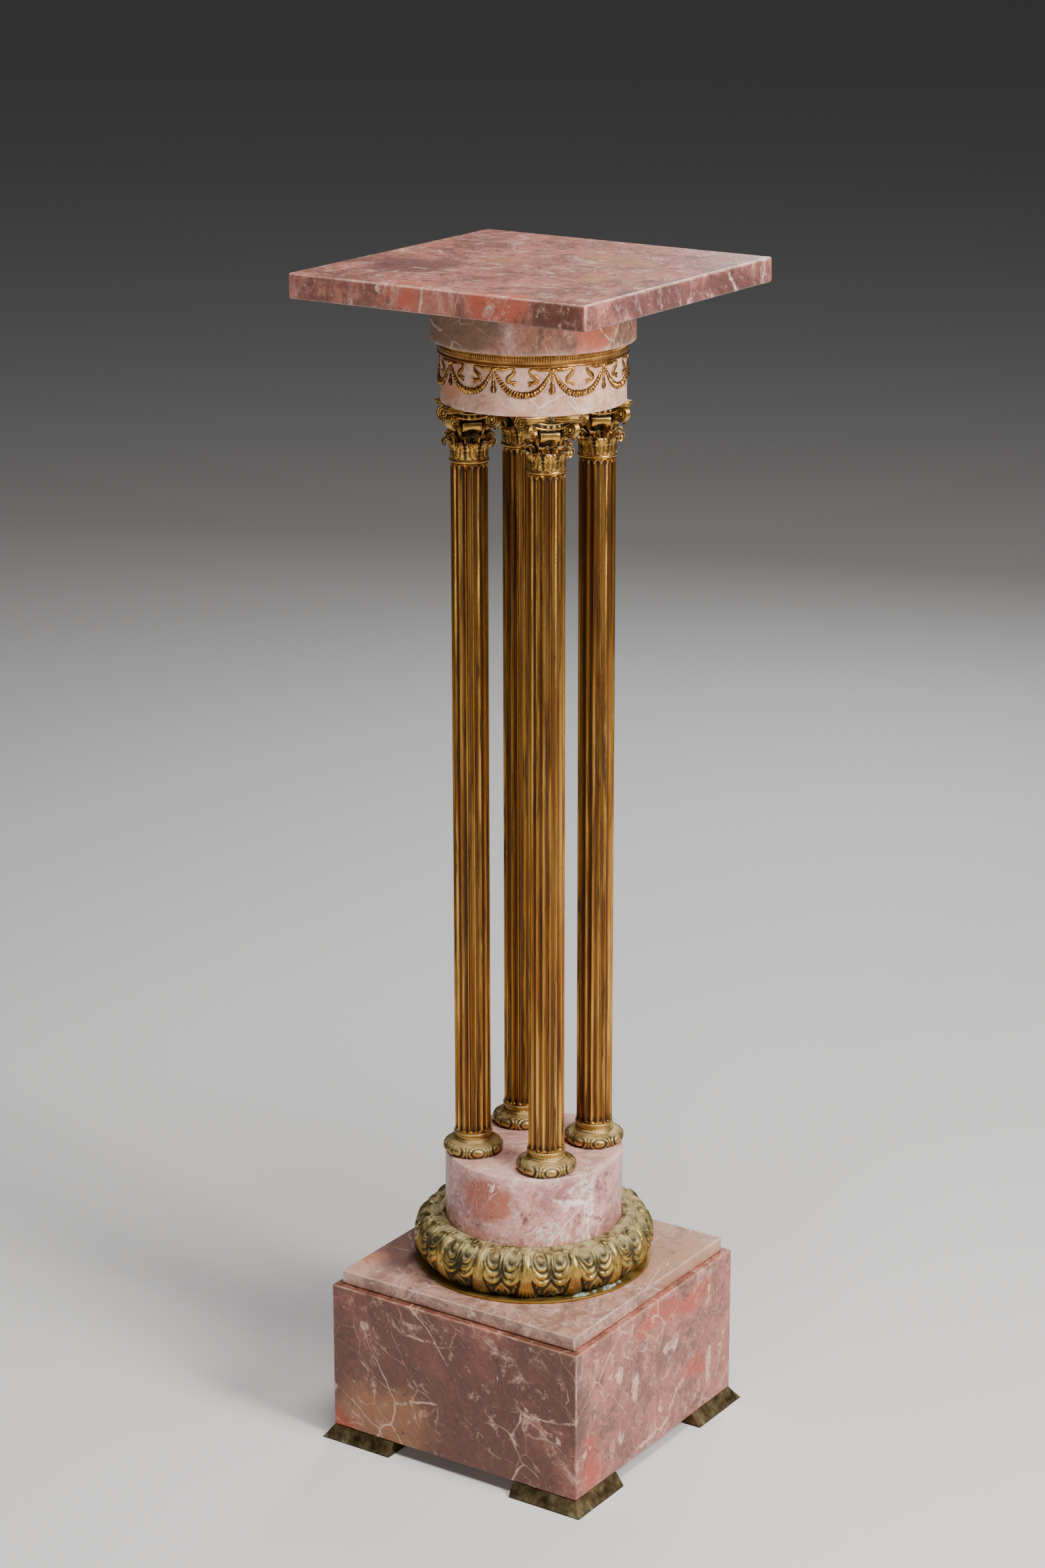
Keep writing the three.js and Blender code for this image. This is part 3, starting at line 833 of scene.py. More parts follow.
slab = stone_block("marble_top_slab", slab_marble, "top_slab", radius=2.2, chip=1.2, seed=5)
block = stone_block(
    "marble_plinth_block", block_marble, "plinth_block", radius=1.6, chip=1.8, seed=11, upright_rows=26,
)
step = stone_block("marble_plinth_step", step_marble, "plinth_step", radius=1.4, chip=1.0, seed=23)
print("square blocks", [len(o.data.polygons) for o in (slab, block, step)])

# %% [markdown]
# ## The turned marble
#
# The collar, the frieze and the drum were turned on a lathe and polished. The collar's lower edge is a
# full soft curve, its upper edge only eased. A profile turned round the axis gives the same form. The
# values for wear run along the turned edges.

# %% Turned marble
stone_columns = 256
stone_rows = 14
no_round = 0.01
shortest_step = 0.05


def turned_stone(name, material, node, top_round, foot_round, slot, seed):
    """A marble cylinder with rounded ends, the size of its measured solid."""
    low, high = corners_of(node)
    radius = radius_of(node)
    rise = np.linspace(low[2], high[2], stone_rows)
    profile = [(0, low[2]), *[(radius, z) for z in rise], (0, high[2])]
    sizes = [0, foot_round] + [no_round] * (stone_rows - 2) + [top_round, 0]
    line = rounded(profile, sizes, 6)
    apart = np.linalg.norm(np.diff(line, axis=0), axis=1) > shortest_step
    points = turned(line[np.concatenate([[True], apart])], stone_columns)
    flat = points.reshape(-1, 3)
    bite = np.clip(lattice_noise(flat, 18, seed), 0, None)
    near_rim = ease(radius - 9, radius - 1, np.hypot(flat[:, 0], flat[:, 1]))
    edge_high = ease(6, 0, high[2] - flat[:, 2]) * near_rim
    edge_low = ease(5, 0, flat[:, 2] - low[2]) * near_rim
    wear = np.maximum(edge_high, edge_low) * (0.4 + 0.6 * bite)
    return Shape().grid(points, wear).piece(name, material, slot, [node], "wear")


collar = turned_stone("marble_collar", collar_marble, "collar", 1.6, 8.0, "rose_marble", 31)
frieze = turned_stone("marble_frieze", frieze_marble, "frieze_drum", 1.0, 1.6, "pale_marble", 37)
drum = turned_stone("marble_drum", drum_marble, "lower_drum", 2.2, 1.0, "rose_marble", 41)
print("turned marble", [len(o.data.polygons) for o in (collar, frieze, drum)])

# %% [markdown]
# ## The fluted shafts
#
# Each shaft is a polished brass tube with sixteen hollow flutes. The ridges between the flutes are thin
# and catch the light as bright lines. Every flute ends in a half circle, above and below, and plain tube
# shows beyond the ends. The flutes are cut into the rows of a plain tube, and only the ends need rows
# that stand close together.

# %% Shafts
column_names = [str(n) for n in range(1, 5)]
flutes = 16
flute_columns = 10
flute_depth = 1.9
flute_end = 3.4
flute_share = 0.84
plain_end = 1.0


def shaft(number):
    """One fluted tube with round flute ends."""
    node = "shaft_" + number
    low, high = corners_of(node)
    columns = flutes * flute_columns
    ends = np.concatenate([np.linspace(0, 6.5, 20), [8, 14]])
    open_rows = np.linspace(low[2] + 30, high[2] - 30, 40)
    heights = np.concatenate([low[2] + ends, open_rows, high[2] - ends[::-1]])
    across = np.abs(((ring_angles(columns) * flutes / (2 * math.pi)) % 1.0) - 0.5) * 2
    from_end = np.minimum(heights - low[2], high[2] - heights)[:, None]
    into_end = ((flute_end + plain_end - from_end) / flute_end).clip(0, None)
    share = np.where(from_end <= plain_end, 0, np.sqrt(np.clip(1 - into_end ** 2, 0, None)))
    width = np.maximum(flute_share * share, 1e-3)
    inside = np.clip(1 - (across[None, :] / width) ** 2, 0, None) ** 0.5
    depth = np.where(share > 0, inside, 0) * flute_depth * share ** 0.5
    x, y, _ = foot_point(node)
    points = around(radius_of(node) - depth, heights[:, None], columns) + np.array([x, y, 0])
    # Painted shade: the flutes darken with their depth, partly as old polish in them, and the last 9 mm at
    # each end, where the shaft meets its base and capital, is darkened as painted shade.
    hollow = (depth / flute_depth) ** 1.5 * 0.62 + ease(9, 0, from_end) * 0.3
    shape = Shape().grid(points, hollow, cap=True)
    return shape.piece("brass_shaft_" + number, shaft_brass, "gilt_brass", [node])


shafts = [shaft(number) for number in column_names]
print("shafts", [len(o.data.polygons) for o in shafts])

# %% [markdown]
# ## Relief, leaves and bands
#
# The bronze mounts were modelled in wax, cast, then chased with punches and a graver. Their relief is
# built the same way here: raised strokes drawn on an unrolled band, which is then wrapped round the form.
# A stroke's height falls off as a quarter circle, so strokes that meet leave a crisp crease between them.

# %% Relief helpers
path_steps = 10


def smooth_path(points):
    """A smooth path that passes through the points given."""
    p = np.asarray(points, float)
    p = np.vstack([2 * p[0] - p[1], p, 2 * p[-1] - p[-2]])
    out = []
    for a, b, c, d in zip(p, p[1:], p[2:], p[3:]):
        for t in np.linspace(0, 1, path_steps, endpoint=False):
            bend = (2 * a - 5 * b + 4 * c - d) * t * t + (3 * b - a - 3 * c + d) * t ** 3
            out.append(0.5 * (2 * b + (c - a) * t + bend))
    out.append(p[-2])
    return np.array(out)


def run_along(line):
    """How far along a line each of its points lies."""
    return np.concatenate([[0], np.cumsum(np.linalg.norm(np.diff(line, axis=0), axis=1))])


def points_at(line, wanted):
    """Points of a line at given distances along it."""
    run = run_along(line)
    return np.stack([np.interp(wanted, run, line[:, i]) for i in range(line.shape[1])], -1)


def resample(line, count):
    """The same line with evenly spaced points."""
    line = np.asarray(line, float)
    return points_at(line, np.linspace(0, run_along(line)[-1], count))


def outward(line):
    """The normals of a turned profile that runs from its foot up: to the right of the way it runs."""
    slope = np.gradient(np.asarray(line, float), axis=0)
    slope /= np.maximum(np.linalg.norm(slope, axis=1), 1e-9)[:, None]
    return np.stack([slope[:, 1], -slope[:, 0]], -1)


def wrapped(line, relief, columns):
    """A ring from a profile and a relief that rises along the profile's own normal."""
    normals = outward(line)
    return around(line[:, :1] + normals[:, :1] * relief, line[:, 1:2] + normals[:, 1:2] * relief, columns)


def stroke(x, y, points, width, height, ends=(1.0, 1.0)):
    """A raised line along a path; ends are the shares of its width that are left at its two ends."""
    path = smooth_path(points)
    share = np.linspace(0, 1, len(path))
    taper = ends[0] + (1 - ends[0]) * ease(0, 0.4, share)
    taper = taper * (ends[1] + (1 - ends[1]) * ease(1, 0.6, share))
    gap = np.hypot(x[..., None] - path[:, 0], y[..., None] - path[:, 1])
    return (np.sqrt(np.clip(1 - (gap / (width * taper)) ** 2, 0, 1)) * taper).max(-1) * height


def boss(x, y, centre, size, height, dimple=0.0):
    """A raised round knob, with a dimple in its middle if wanted."""
    away = np.hypot((x - centre[0]) / size[0], (y - centre[1]) / size[1])
    return np.sqrt(np.clip(1 - away ** 2, 0, 1)) * height - np.clip(1 - (away / 0.45) ** 2, 0, 1) * dimple


def most(*layers):
    """The highest of several reliefs at each point."""
    return np.maximum.reduce(layers)


def arch(reach):
    """The height of a half round: 1 in the middle, 0 where reach is 1 or more."""
    return np.sqrt(np.clip(1 - reach ** 2, 0, 1))


print("relief helpers ready")

# %% [markdown]
# ## The ring of leaves
#
# A fat bronze torus hides the joint between drum and step. Fifteen palmettes hang round it, with three
# nested crescents on each side of every palmette, small curls above them and a little flower low between
# them. One half of one palmette is drawn, mirrored by the sign of x, and repeated round the ring, as a
# caster would press one good wax model fifteen times.

# %% Leaf ring sizes
palmettes = 15
palmette_columns = 56
ring_rows = 60
ring_turn = math.radians(0.5 * 360 / palmettes) + math.radians(-60)
ring_low, ring_high = corners_of("leaf_torus")
ring_outer = radius_of("leaf_torus")
ring_inner = radius_of("lower_drum") + 0.3
ring_depth = ring_outer - ring_inner
ring_tall = ring_high[2] - ring_low[2]
half_pitch = ring_outer * math.pi / palmettes
relief_room = 3.6
cast_uneven = 0.14
ring_section = [(0.44, 0.02), (0.55, 0.03), (0.76, 0.12), (0.93, 0.30), (1.0, 0.52), (0.93, 0.76)]
ring_section += [(0.72, 0.92), (0.42, 0.985), (0.16, 1.0), (0.0, 0.985)]
body_levels = [0, 6, 14, 24, 34, 44, 52, 56]
body_widths = [14.6, 12.8, 9.2, 6.2, 4.8, 4.1, 3.7, 2.4]
stem_places = (1.0, 7.5, 12.5, 19.0)
print("ring", round(ring_outer, 1), "mm outside,", round(ring_tall, 1), "mm tall")

# %% [markdown]
# The carving is a drawing: x is the distance from the middle of a palmette and y the way up from the
# ring's foot, both in millimetres. Every stroke is a path, a width, a height and what is left of the
# width at its two ends.

# %% Leaf relief
def strokes(x, y, *drawn):
    """The highest of several strokes."""
    return most(*[stroke(x, y, *one) for one in drawn])


def leaf_relief(x, y):
    """The height of the carving over the plain torus."""
    end = half_pitch
    spread_share = np.clip(x / np.interp(y, body_levels, body_widths), 0, 1)
    body = np.sqrt(1 - spread_share ** 2)
    blades = np.abs(np.cos(spread_share * math.pi * 2.6)) ** 0.6
    palmette = (body * 1.4 + blades * body ** 0.5 * 2.2) * ease(58, 52, y) * ease(0, 5, y)
    crescents = strokes(
        x, y,
        ([(4.6, 39), (7.4, 31.5), (13.0, 26.6), (18.8, 27.6), (end - 0.4, 31.5)], 3.3, 3.6, (0.45, 0.3)),
        ([(5.4, 44), (8.6, 37.2), (13.4, 33.0), (18.4, 33.6), (21.4, 37.5)], 2.7, 3.2, (0.45, 0.3)),
        ([(7.2, 48.5), (9.8, 42.6), (13.8, 39.2), (17.8, 40.0), (19.6, 44.0)], 2.1, 2.7, (0.45, 0.3)),
    )
    curls = strokes(
        x, y,
        ([(8.0, 50), (10.0, 54.4), (14.6, 55.6), (18.6, 51.4)], 1.5, 1.6, (0.5, 0.5)),
        ([(1.6, 51), (4.0, 55.5), (7.4, 57.0), (9.4, 55.0)], 1.5, 1.9, (0.6, 0.7)),
        ([(end - 2.1, 38), (end - 1.9, 47), (end - 3.6, 54), (end - 7.0, 56.6)], 1.6, 1.9, (0.7, 0.6)),
        ([(end, 44), (end, 57)], 1.1, 1.3, (0.5, 0.3)),
        *[([(at, 57), (at * 0.98, 62), (at * 0.96, 67)], 1.9, 0.7, (0.3, 1.0)) for at in stem_places],
    )
    flower = strokes(
        x, y,
        ([(end - 7.4, 8), (end - 6.0, 17), (end, 24.5)], 1.9, 2.4, (0.4, 1.0)),
        ([(end, 12.5), (end - 3.8, 9.5), (end - 4.6, 4)], 2.0, 2.1, (0.8, 0.5)),
        ([(12.2, 22.5), (12.6, 16), (14.8, 10)], 2.1, 2.0, (0.4, 0.4)),
        ([(10.4, 26), (9.4, 20)], 1.3, 2.0, (0.5, 0.5)),
    )
    knobs = most(boss(x, y, (12.8, 48.2), (5.0, 5.8), 1.3), boss(x, y, (end, 18.5), (3.0, 3.0), 3.0, 2.4))
    edge = stroke(x, y, [(-2, 64.0), (end + 2, 64.0)], 1.7, 1.2)
    chased = 0.35 * np.cos(np.hypot(x - 12.8, y - 50.0) * 2 * math.pi / 2.3)
    chased = chased * ease(46, 50, y) * ease(66, 60, y)
    return most(palmette, crescents, curls, flower, knobs, edge) + chased


print("leaf relief drawn")

# %% [markdown]
# The drawing is laid on the torus, pushed out along its surface and made a little uneven, as a sand
# casting is. The two rows at the foot and the one inside close the ring against the plate and the drum.

# %% Leaf ring
def leaf_ring():
    """The bronze ring, with its carving."""
    room = ring_depth - relief_room
    line = smooth_path([(ring_inner + out * room, up * (ring_tall - 2.4)) for out, up in ring_section])
    line = resample(line, ring_rows)
    length = np.linalg.norm(np.diff(line, axis=0), axis=1).sum()
    x = ((np.arange(palmette_columns) + 0.5) / palmette_columns * 2 - 1) * half_pitch
    x, y = np.meshgrid(np.abs(x), np.linspace(0, length, ring_rows))
    y = y + 2.5
    relief = np.tile(leaf_relief(x, y), (1, palmettes))
    columns = palmette_columns * palmettes
    points = wrapped(line, np.minimum(relief, relief_room), columns)
    flat = points.reshape(-1, 3)
    heading = flat[:, :2] / np.hypot(flat[:, 0], flat[:, 1])[:, None]
    flat[:, :2] += heading * lattice_noise(flat, 7, 3)[:, None] * cast_uneven
    points = flat.reshape(points.shape) + np.array([0, 0, ring_low[2]])
    level = np.tile(y, (1, palmettes))
    # Painted shade: the carving's hollows are darkened, less on the upper part; the part below the ring's
    # widest bulge is darkened as painted shade, and the rows at the foot and inside, where the ring meets
    # plate and drum, are painted fully dark.
    hollow = ease(2.9, 0.3, relief) * (0.85 - 0.55 * ease(42, 52, level)) + ease(27, 4, level) * 0.62
    hollow = hollow + ease(40, 50, level) * 0.16
    skirt = turned([(ring_inner, ring_low[2]), (ring_inner + ring_depth * 0.40, ring_low[2])], columns)
    inside = turned([(ring_inner, ring_high[2] - 6)], columns)
    values = np.concatenate([np.ones((2, columns)), hollow, np.ones((1, columns))])
    shape = Shape().grid(np.concatenate([skirt, points, inside]), values, round_rows=True)
    shape = Shape().add(shape, ring_turn)
    return shape.piece("bronze_leaf_ring", leaf_bronze, "aged_bronze", ["leaf_torus"])


leaf_piece = leaf_ring()
print("leaf ring", len(leaf_piece.data.polygons))

# %% [markdown]
# ## The plate under the leaves
#
# The ring stands on a thin flat plate that shows as a yellow rim. It was cut from sheet brass, so it is a
# plain turned form with its edge broken by a file.

# %% Ring plate
plate_columns = 240
plate_low, plate_high = corners_of("ring_plate")
plate_radius = radius_of("ring_plate")
plate_line = rounded(
    [(ring_inner, plate_low[2]), (plate_radius - 0.4, plate_low[2]), (plate_radius, plate_high[2]),
     (ring_inner, plate_high[2])],
    0.5, 3,
)
plate_shape = Shape().grid(turned(plate_line, plate_columns), round_rows=True)
plate_piece = plate_shape.piece("bronze_ring_plate", plate_bronze, "gilt_bronze", ["ring_plate"])
print("plate", len(plate_piece.data.polygons))

# %% [markdown]
# ## The column bases
#
# Each base is a cast cushion with eight egg-shaped bosses, each in a raised frame, and double grooves
# between the frames. Its top slopes up to a thin ring and a polished neck. A beaded collar with a
# scalloped upper edge holds the shaft. The profile is drawn once, made as wide and tall as the measured
# base, and closely spaced rows are kept only where the eggs and scallops need them.

# %% Column bases
base_lobes = 8
lobe_columns = 24
lobe_half = 10.6
lobe_start = 24.5
drawn_radius = 28.1
drawn_height = 20.7
base_profile = [(0, 0), (24.4, 0), (26.0, 1.2), (27.6, 4.3), (27.0, 7.4), (25.0, 9.6), (20.4, 11.4)]
base_profile += [(17.3, 12.3), (17.9, 13.1), (16.4, 14.0), (15.1, 14.4), (15.1, 17.4), (17.4, 17.9)]
base_profile += [(17.8, 19.2), (17.5, 20.6), (0, drawn_height)]


def column_base_form():
    """One base, standing on the middle of its underside."""
    low, high = corners_of("column_base_1")
    scale = np.array([radius_of("column_base_1") / drawn_radius, (high[2] - low[2]) / drawn_height])
    line = rounded(np.array(base_profile) * scale, 0.9, 4)
    end = run_along(line)[-1]
    kept = np.concatenate([[0], np.linspace(23.5, 45, 34), np.linspace(45.6, 58.5, 22), [end - 15, end]])
    line = points_at(line, kept)
    columns = base_lobes * lobe_columns
    side = ((np.arange(columns) + 0.5) / lobe_columns * 2 % 2) - 1
    across, along = np.meshgrid(np.abs(side) * lobe_half, kept - lobe_start)
    egg = boss(across, along, (0, 6.4), (5.2, 4.6), 0.9)
    frame_gap = np.abs(np.hypot(across / 8.1, (along - 6.4) / 6.9) - 1) * 7
    dart = stroke(across, along, [(lobe_half, 0), (lobe_half, 12)], 1.0, 0.6)
    relief = most(egg, arch(frame_gap / 1.1) * 0.7, dart) * ease(-0.5, 1.5, along) * ease(14.0, 12.0, along)
    scallop = np.abs(np.sin(side * math.pi * 2)) * 0.35
    scallop = scallop * ease(45.5, 47.5, kept)[:, None] * ease(53, 50, kept)[:, None]
    sunk = 0.4 * (along > 0) * (along < 13)
    # Painted shade: the hollows between the eggs, frames and darts are darkened, and the underside and
    # lowest rim, where the base sits on the drum.
    hollow = ease(0.65, 0.05, relief) * ease(-1, 1, along) * ease(13.5, 11.5, along) * 0.85
    hollow = hollow + ease(1.0, -0.5, along) * 0.5
    return Shape().grid(wrapped(line, relief + scallop - sunk, columns), hollow)


base_form = column_base_form()
bases = []
for number in column_names:
    shape = Shape().add(base_form, math.pi / base_lobes, foot_point("column_base_" + number))
    bases.append(shape.piece("bronze_base_" + number, base_bronze, "gilt_bronze", ["column_base_" + number]))
print("column bases", [len(o.data.polygons) for o in bases])

# %% [markdown]
# ## The band under the collar
#
# A thin gilt band closes the joint between frieze and collar. Its lower half is smooth with two fine
# lines. Its upper half carries a row of tiny arcs and bars, struck with a punch. Each row of the profile
# is a share of the band's height and how far it stands behind the face.

# %% Frieze band
band_marks = 240
mark_columns = 8
mark_height = 0.75
band_profile = [(0.0, -1.6), (0.02, -0.5), (0.06, 0.0), (0.15, 0.0), (0.19, -0.8), (0.24, -0.75)]
band_profile += [(0.40, -0.55), (0.43, -0.15), (0.47, -0.15), (0.50, -0.9), (0.55, -0.95), (0.63, -0.95)]
band_profile += [(0.72, -0.95), (0.80, -0.95), (0.84, -0.9), (0.87, -0.1), (0.95, 0.0), (1.0, -0.3)]
band_profile += [(1.0, -1.6)]


def frieze_band():
    """The band, with its punched row."""
    low, high = corners_of("frieze_band")
    outer = radius_of("frieze_band")
    share, out = np.array(band_profile).T
    line = np.stack([outer + out, low[2] + share * (high[2] - low[2])], -1)
    columns = band_marks * mark_columns
    from_middle = np.abs((np.arange(columns) / mark_columns) % 1.0 - 0.5) * 2
    punched = ((share > 0.49) & (share < 0.86))[:, None]
    under_arc = from_middle < 0.62 * arch((share[:, None] - 0.52) / 0.36)
    relief = np.where(under_arc | (from_middle > 0.93), mark_height, 0.0) * punched
    set_back = (line[:, 0] < outer - 0.6)[:, None]
    # Painted shade: the band is darkened between its punched marks and on the rows set back from its face.
    hollow = np.where(punched, ease(0.7, 0.1, relief), 0.15 + set_back * 0.4)
    shape = Shape().grid(wrapped(line, relief, columns), hollow, round_rows=True)
    return shape.piece("gilt_band", band_bronze, "gilt_bronze", ["frieze_band"])


band = frieze_band()
print("band", len(band.data.polygons))

# %% [markdown]
# ## Garlands, bows and tassels
#
# Ten swags of leaves hang between ten bows. Each bow has two ribbon loops whose ends split into a fork,
# a round knot, and a tassel under it. All of it is drawn flat, in millimetres from the knot, as tubes of
# changing width. It is then bent round the frieze.

# %% Flat tubes
knots = 10
first_knot = math.radians(-45)
frieze_radius = radius_of("frieze_drum")
knot_level = corners_of("frieze_band")[0][2] - 2.4
knot_gap = 2 * math.pi * frieze_radius / knots
section_turns = np.linspace(0, 2 * math.pi, 11)[:-1]


def flat_tube(path, widths, heights, off, ribs=None):
    """A tube drawn flat: widths across its path, heights off the stone; its back sinks into the stone."""
    slope = np.gradient(path, axis=0)
    slope /= np.maximum(np.linalg.norm(slope, axis=1), 1e-9)[:, None]
    across = np.stack([-slope[:, 1], slope[:, 0]], -1)
    side, up = np.cos(section_turns), np.sin(section_turns)
    lift = np.where(up > 0, up, up * 0.5)
    wide = np.asarray(widths)[:, None]
    tall = np.asarray(heights)[:, None]
    # Painted shade: each tube is darkened on its sides and back, where it meets the stone, and, where it has
    # ribs, in the grooves between them.
    hollow = ease(0.9, 0.2, up)[None, :] * 0.8
    if ribs is not None:
        wide = wide * (1 + 0.10 * ribs)
        tall = tall * (1 + 0.42 * ribs)
        hollow = hollow + ease(0.2, -0.7, ribs) * 0.8
    flat = path[:, None, :] + across[:, None, :] * (wide * side)[..., None]
    out = tall * lift + off
    return np.concatenate([flat, out[..., None]], -1), np.broadcast_to(hollow, out.shape)


print("knots every", round(knot_gap, 1), "mm")

# %% [markdown]
# A swag is a rope of laurel: thin at the knots, thick in its middle, with leaves that point from both
# ends to the middle. Slanting ribs that meet there give the leaves. A ribbon is a thin tube with a crease
# along it that widens and narrows, as a folded ribbon does when it turns.

# %% Swags and ribbons
swag_points = 150
swag_start = 1.8
swag_top = -2.0
swag_sag = 19.0
leaf_step = 2.7
ribbon_off = 0.25
bend_points = 9
outer_loop = [(1.4, -0.2), (5.0, 0.4), (10.0, 0.2), (15.6, 1.6), (18.6, 0.0), (17.4, -3.4), (13.9, -6.4)]
outer_loop += [(13.2, -9.4), (16.6, -10.4), (20.6, -9.6)]
fork_end = [(14.6, -9.8), (17.0, -11.2), (19.6, -13.2)]
upper_fold = [(1.2, 0.6), (5.2, 1.5), (9.6, 0.8), (12.6, 1.7)]
ribbon_paths = [(outer_loop, 1.6), (fork_end, 1.15), (upper_fold, 1.0)]


def swag():
    """A rope of leaves that sags from one knot to the next."""
    share = np.linspace(0, 1, swag_points)
    x = swag_start + share * (knot_gap - 2 * swag_start)
    y = swag_top - swag_sag * (1 - np.abs(2 * share - 1) ** 2.7)
    path = resample(np.stack([x, y], -1), swag_points)
    full = np.clip(1 - np.abs(2 * share - 1) ** 2.2, 0, 1)
    width = 1.0 + 2.0 * full
    run = (share * np.linalg.norm(np.diff(path, axis=0), axis=1).sum())[:, None] * 2 * math.pi
    toward = np.sign(share - 0.5)[:, None]
    ribs = np.sin(run / leaf_step + toward * 2.6 * np.abs(np.cos(section_turns)))
    ribs = ribs + 0.6 * np.sin(run / 1.9 + 3 * section_turns)
    ribs = ribs + 0.4 * np.sin(run / 7.3 + 1.7)
    return flat_tube(path, width, width * 0.66, 0.0, ribs * np.clip(full, 0.3, 1)[:, None])


def ribbon(points, width):
    """A folded ribbon along a path."""
    path = resample(smooth_path(points), bend_points * len(points))
    share = np.linspace(0, 1, len(path))
    wide = width * (0.35 + 0.65 * ease(0, 0.12, share)) * (0.30 + 0.70 * ease(1, 0.93, share))
    turn = 0.78 + 0.22 * np.cos(share * 9.0)
    crease = -np.clip(1 - np.abs(np.cos(section_turns)) * 2.6, 0, 1) * 0.9
    crease = np.broadcast_to(crease, (len(path), len(section_turns)))
    return flat_tube(path, wide * turn * 1.25, 0.75 + 0.4 * np.sin(share * 7.5) ** 2, ribbon_off, crease)


print("swags and", 2 * len(ribbon_paths), "ribbons a bow")

# %% [markdown]
# A tassel is a turned head, a waist, a bell and a fringe, so it is one tube whose width changes on the
# way down. The knot is a short fat one. Then every part is bent round the frieze, ten times.

# %% Tassels, knots and the whole ring
tassel_points = 80
tassel_top = -1.0
tassel_foot = -20.7
tassel_drops = [0, 0.1, 0.36, 0.42, 0.58, 0.66, 0.72, 0.86, 0.96, 1]
tassel_widths = [0.7, 0.9, 1.7, 1.2, 2.1, 1.5, 2.6, 2.8, 2.0, 0.3]
knot_points = 16
knot_half = 2.7
sunk_in_stone = 0.1


def tassel():
    """A tassel under a knot."""
    y = np.linspace(tassel_top, tassel_foot, tassel_points)
    drop = (y - tassel_top) / (tassel_foot - tassel_top)
    width = np.interp(drop, tassel_drops, tassel_widths)
    fringe = np.cos(section_turns * 5)[None, :] * ease(0.40, 0.46, drop)[:, None] * 0.7
    ribs = fringe + np.sin(drop * 40)[:, None] * 0.12
    return flat_tube(np.stack([np.zeros(tassel_points), y], -1), width, width * 0.62, 0.0, ribs)


def knot():
    """The round knot of a bow."""
    path = np.stack([np.linspace(-knot_half, knot_half, knot_points), np.zeros(knot_points)], -1)
    bulge = np.sqrt(np.clip(1 - np.linspace(-1, 1, knot_points) ** 2, 0.02, 1))
    return flat_tube(path, 2.2 * bulge, 1.9 * bulge, 0.3)


def garlands():
    """All ten swags and bows, as the one casting that they are."""
    parts = [swag(), tassel(), knot()]
    for path, width in ribbon_paths:
        for side in (1, -1):
            parts.append(ribbon([(x * side, y) for x, y in path], width))
    shape = Shape()
    for index in range(knots):
        turn = first_knot + index * 2 * math.pi / knots
        for flat, hollow in parts:
            angle = turn + flat[..., 0] / frieze_radius
            radius = frieze_radius + flat[..., 2] - sunk_in_stone
            bent = spread(radius * np.cos(angle), radius * np.sin(angle), knot_level + flat[..., 1])
            shape.grid(bent, hollow, cap=True)
    return shape.piece("gilt_garlands", garland_bronze, "gilt_bronze", ["garland_frieze"])


garland = garlands()
print("garlands", len(garland.data.polygons))

# %% [markdown]
# ## The capitals
#
# Each capital is one casting in the composite order. A ring of eight curled leaves stands round the neck,
# small upright leaves stand behind it, and a flat tongue shows on each face. Four scrolls sit under the
# corners, a sagging double fillet runs from scroll to scroll, and a hollow-sided abacus with a flower on
# each side closes it. The parts are made once, facing along X, then joined and copied. The core comes
# first: a bell with leaves chased on its neck and a row of eggs near its top.

# %% Bell of a capital
capital_low, capital_high = corners_of("capital_4")
capital_tall = capital_high[2] - capital_low[2]
capital_reach = radius_of("capital_4") - 0.2
bell_rows = 58
bell_columns = 160
neck_leaves = 16
bell_eggs = 20
egg_level = 41
bell_profile = [(0, 0), (17.6, 0), (17.8, 2.5), (16.0, 3.1), (15.8, 14), (14.6, 20), (13.6, 27), (14.0, 35)]
bell_profile += [(16.4, 38.0), (17.6, 41), (17.2, 44), (14.5, 45.4), (0, 46)]


def bell():
    """The core of a capital."""
    line = resample(rounded(bell_profile, 0.9, 3), bell_rows)
    turn = np.arange(bell_columns) / bell_columns
    across = np.abs((turn * neck_leaves % 1) - 0.5) * 2
    height = line[:, 1:2]
    veins = np.abs(np.cos(turn * 2 * math.pi * neck_leaves + np.abs(np.sin(height * 0.9)) * 1.6))
    leaves = (1 - across ** 2) * ease(3.2, 5, height) * ease(16, 13, height) * (0.8 + 0.5 * veins)
    egg_across = np.abs((turn * bell_eggs % 1) - 0.5) * 2
    eggs = arch(np.hypot(egg_across / 0.72, (height - egg_level) / 2.8)) * 1.3
    relief = (leaves * 0.9 + eggs) * (line[:, 0:1] > 12)
    # Painted shade: the bell is darkened wherever it stands bare between its neck leaves and eggs, and more
    # on its upper part, behind the leaves and under the abacus.
    hollow = ease(0.9, 0.1, relief) * ease(2.6, 3.6, height) * 0.75 + ease(24, 30, height) * 0.3
    return Shape().grid(wrapped(line, relief, bell_columns), hollow)


print("capital", round(capital_tall, 1), "mm tall,", round(capital_reach, 1), "mm to a corner")

# %% [markdown]
# A leaf climbs a path, leans out and curls over. It is a flat tube: the front has lobes at its edges and
# raised veins, the back follows the front at the thickness of the casting.

# %% Leaves of a capital
leaf_thick = 0.9
leaf_columns = 12


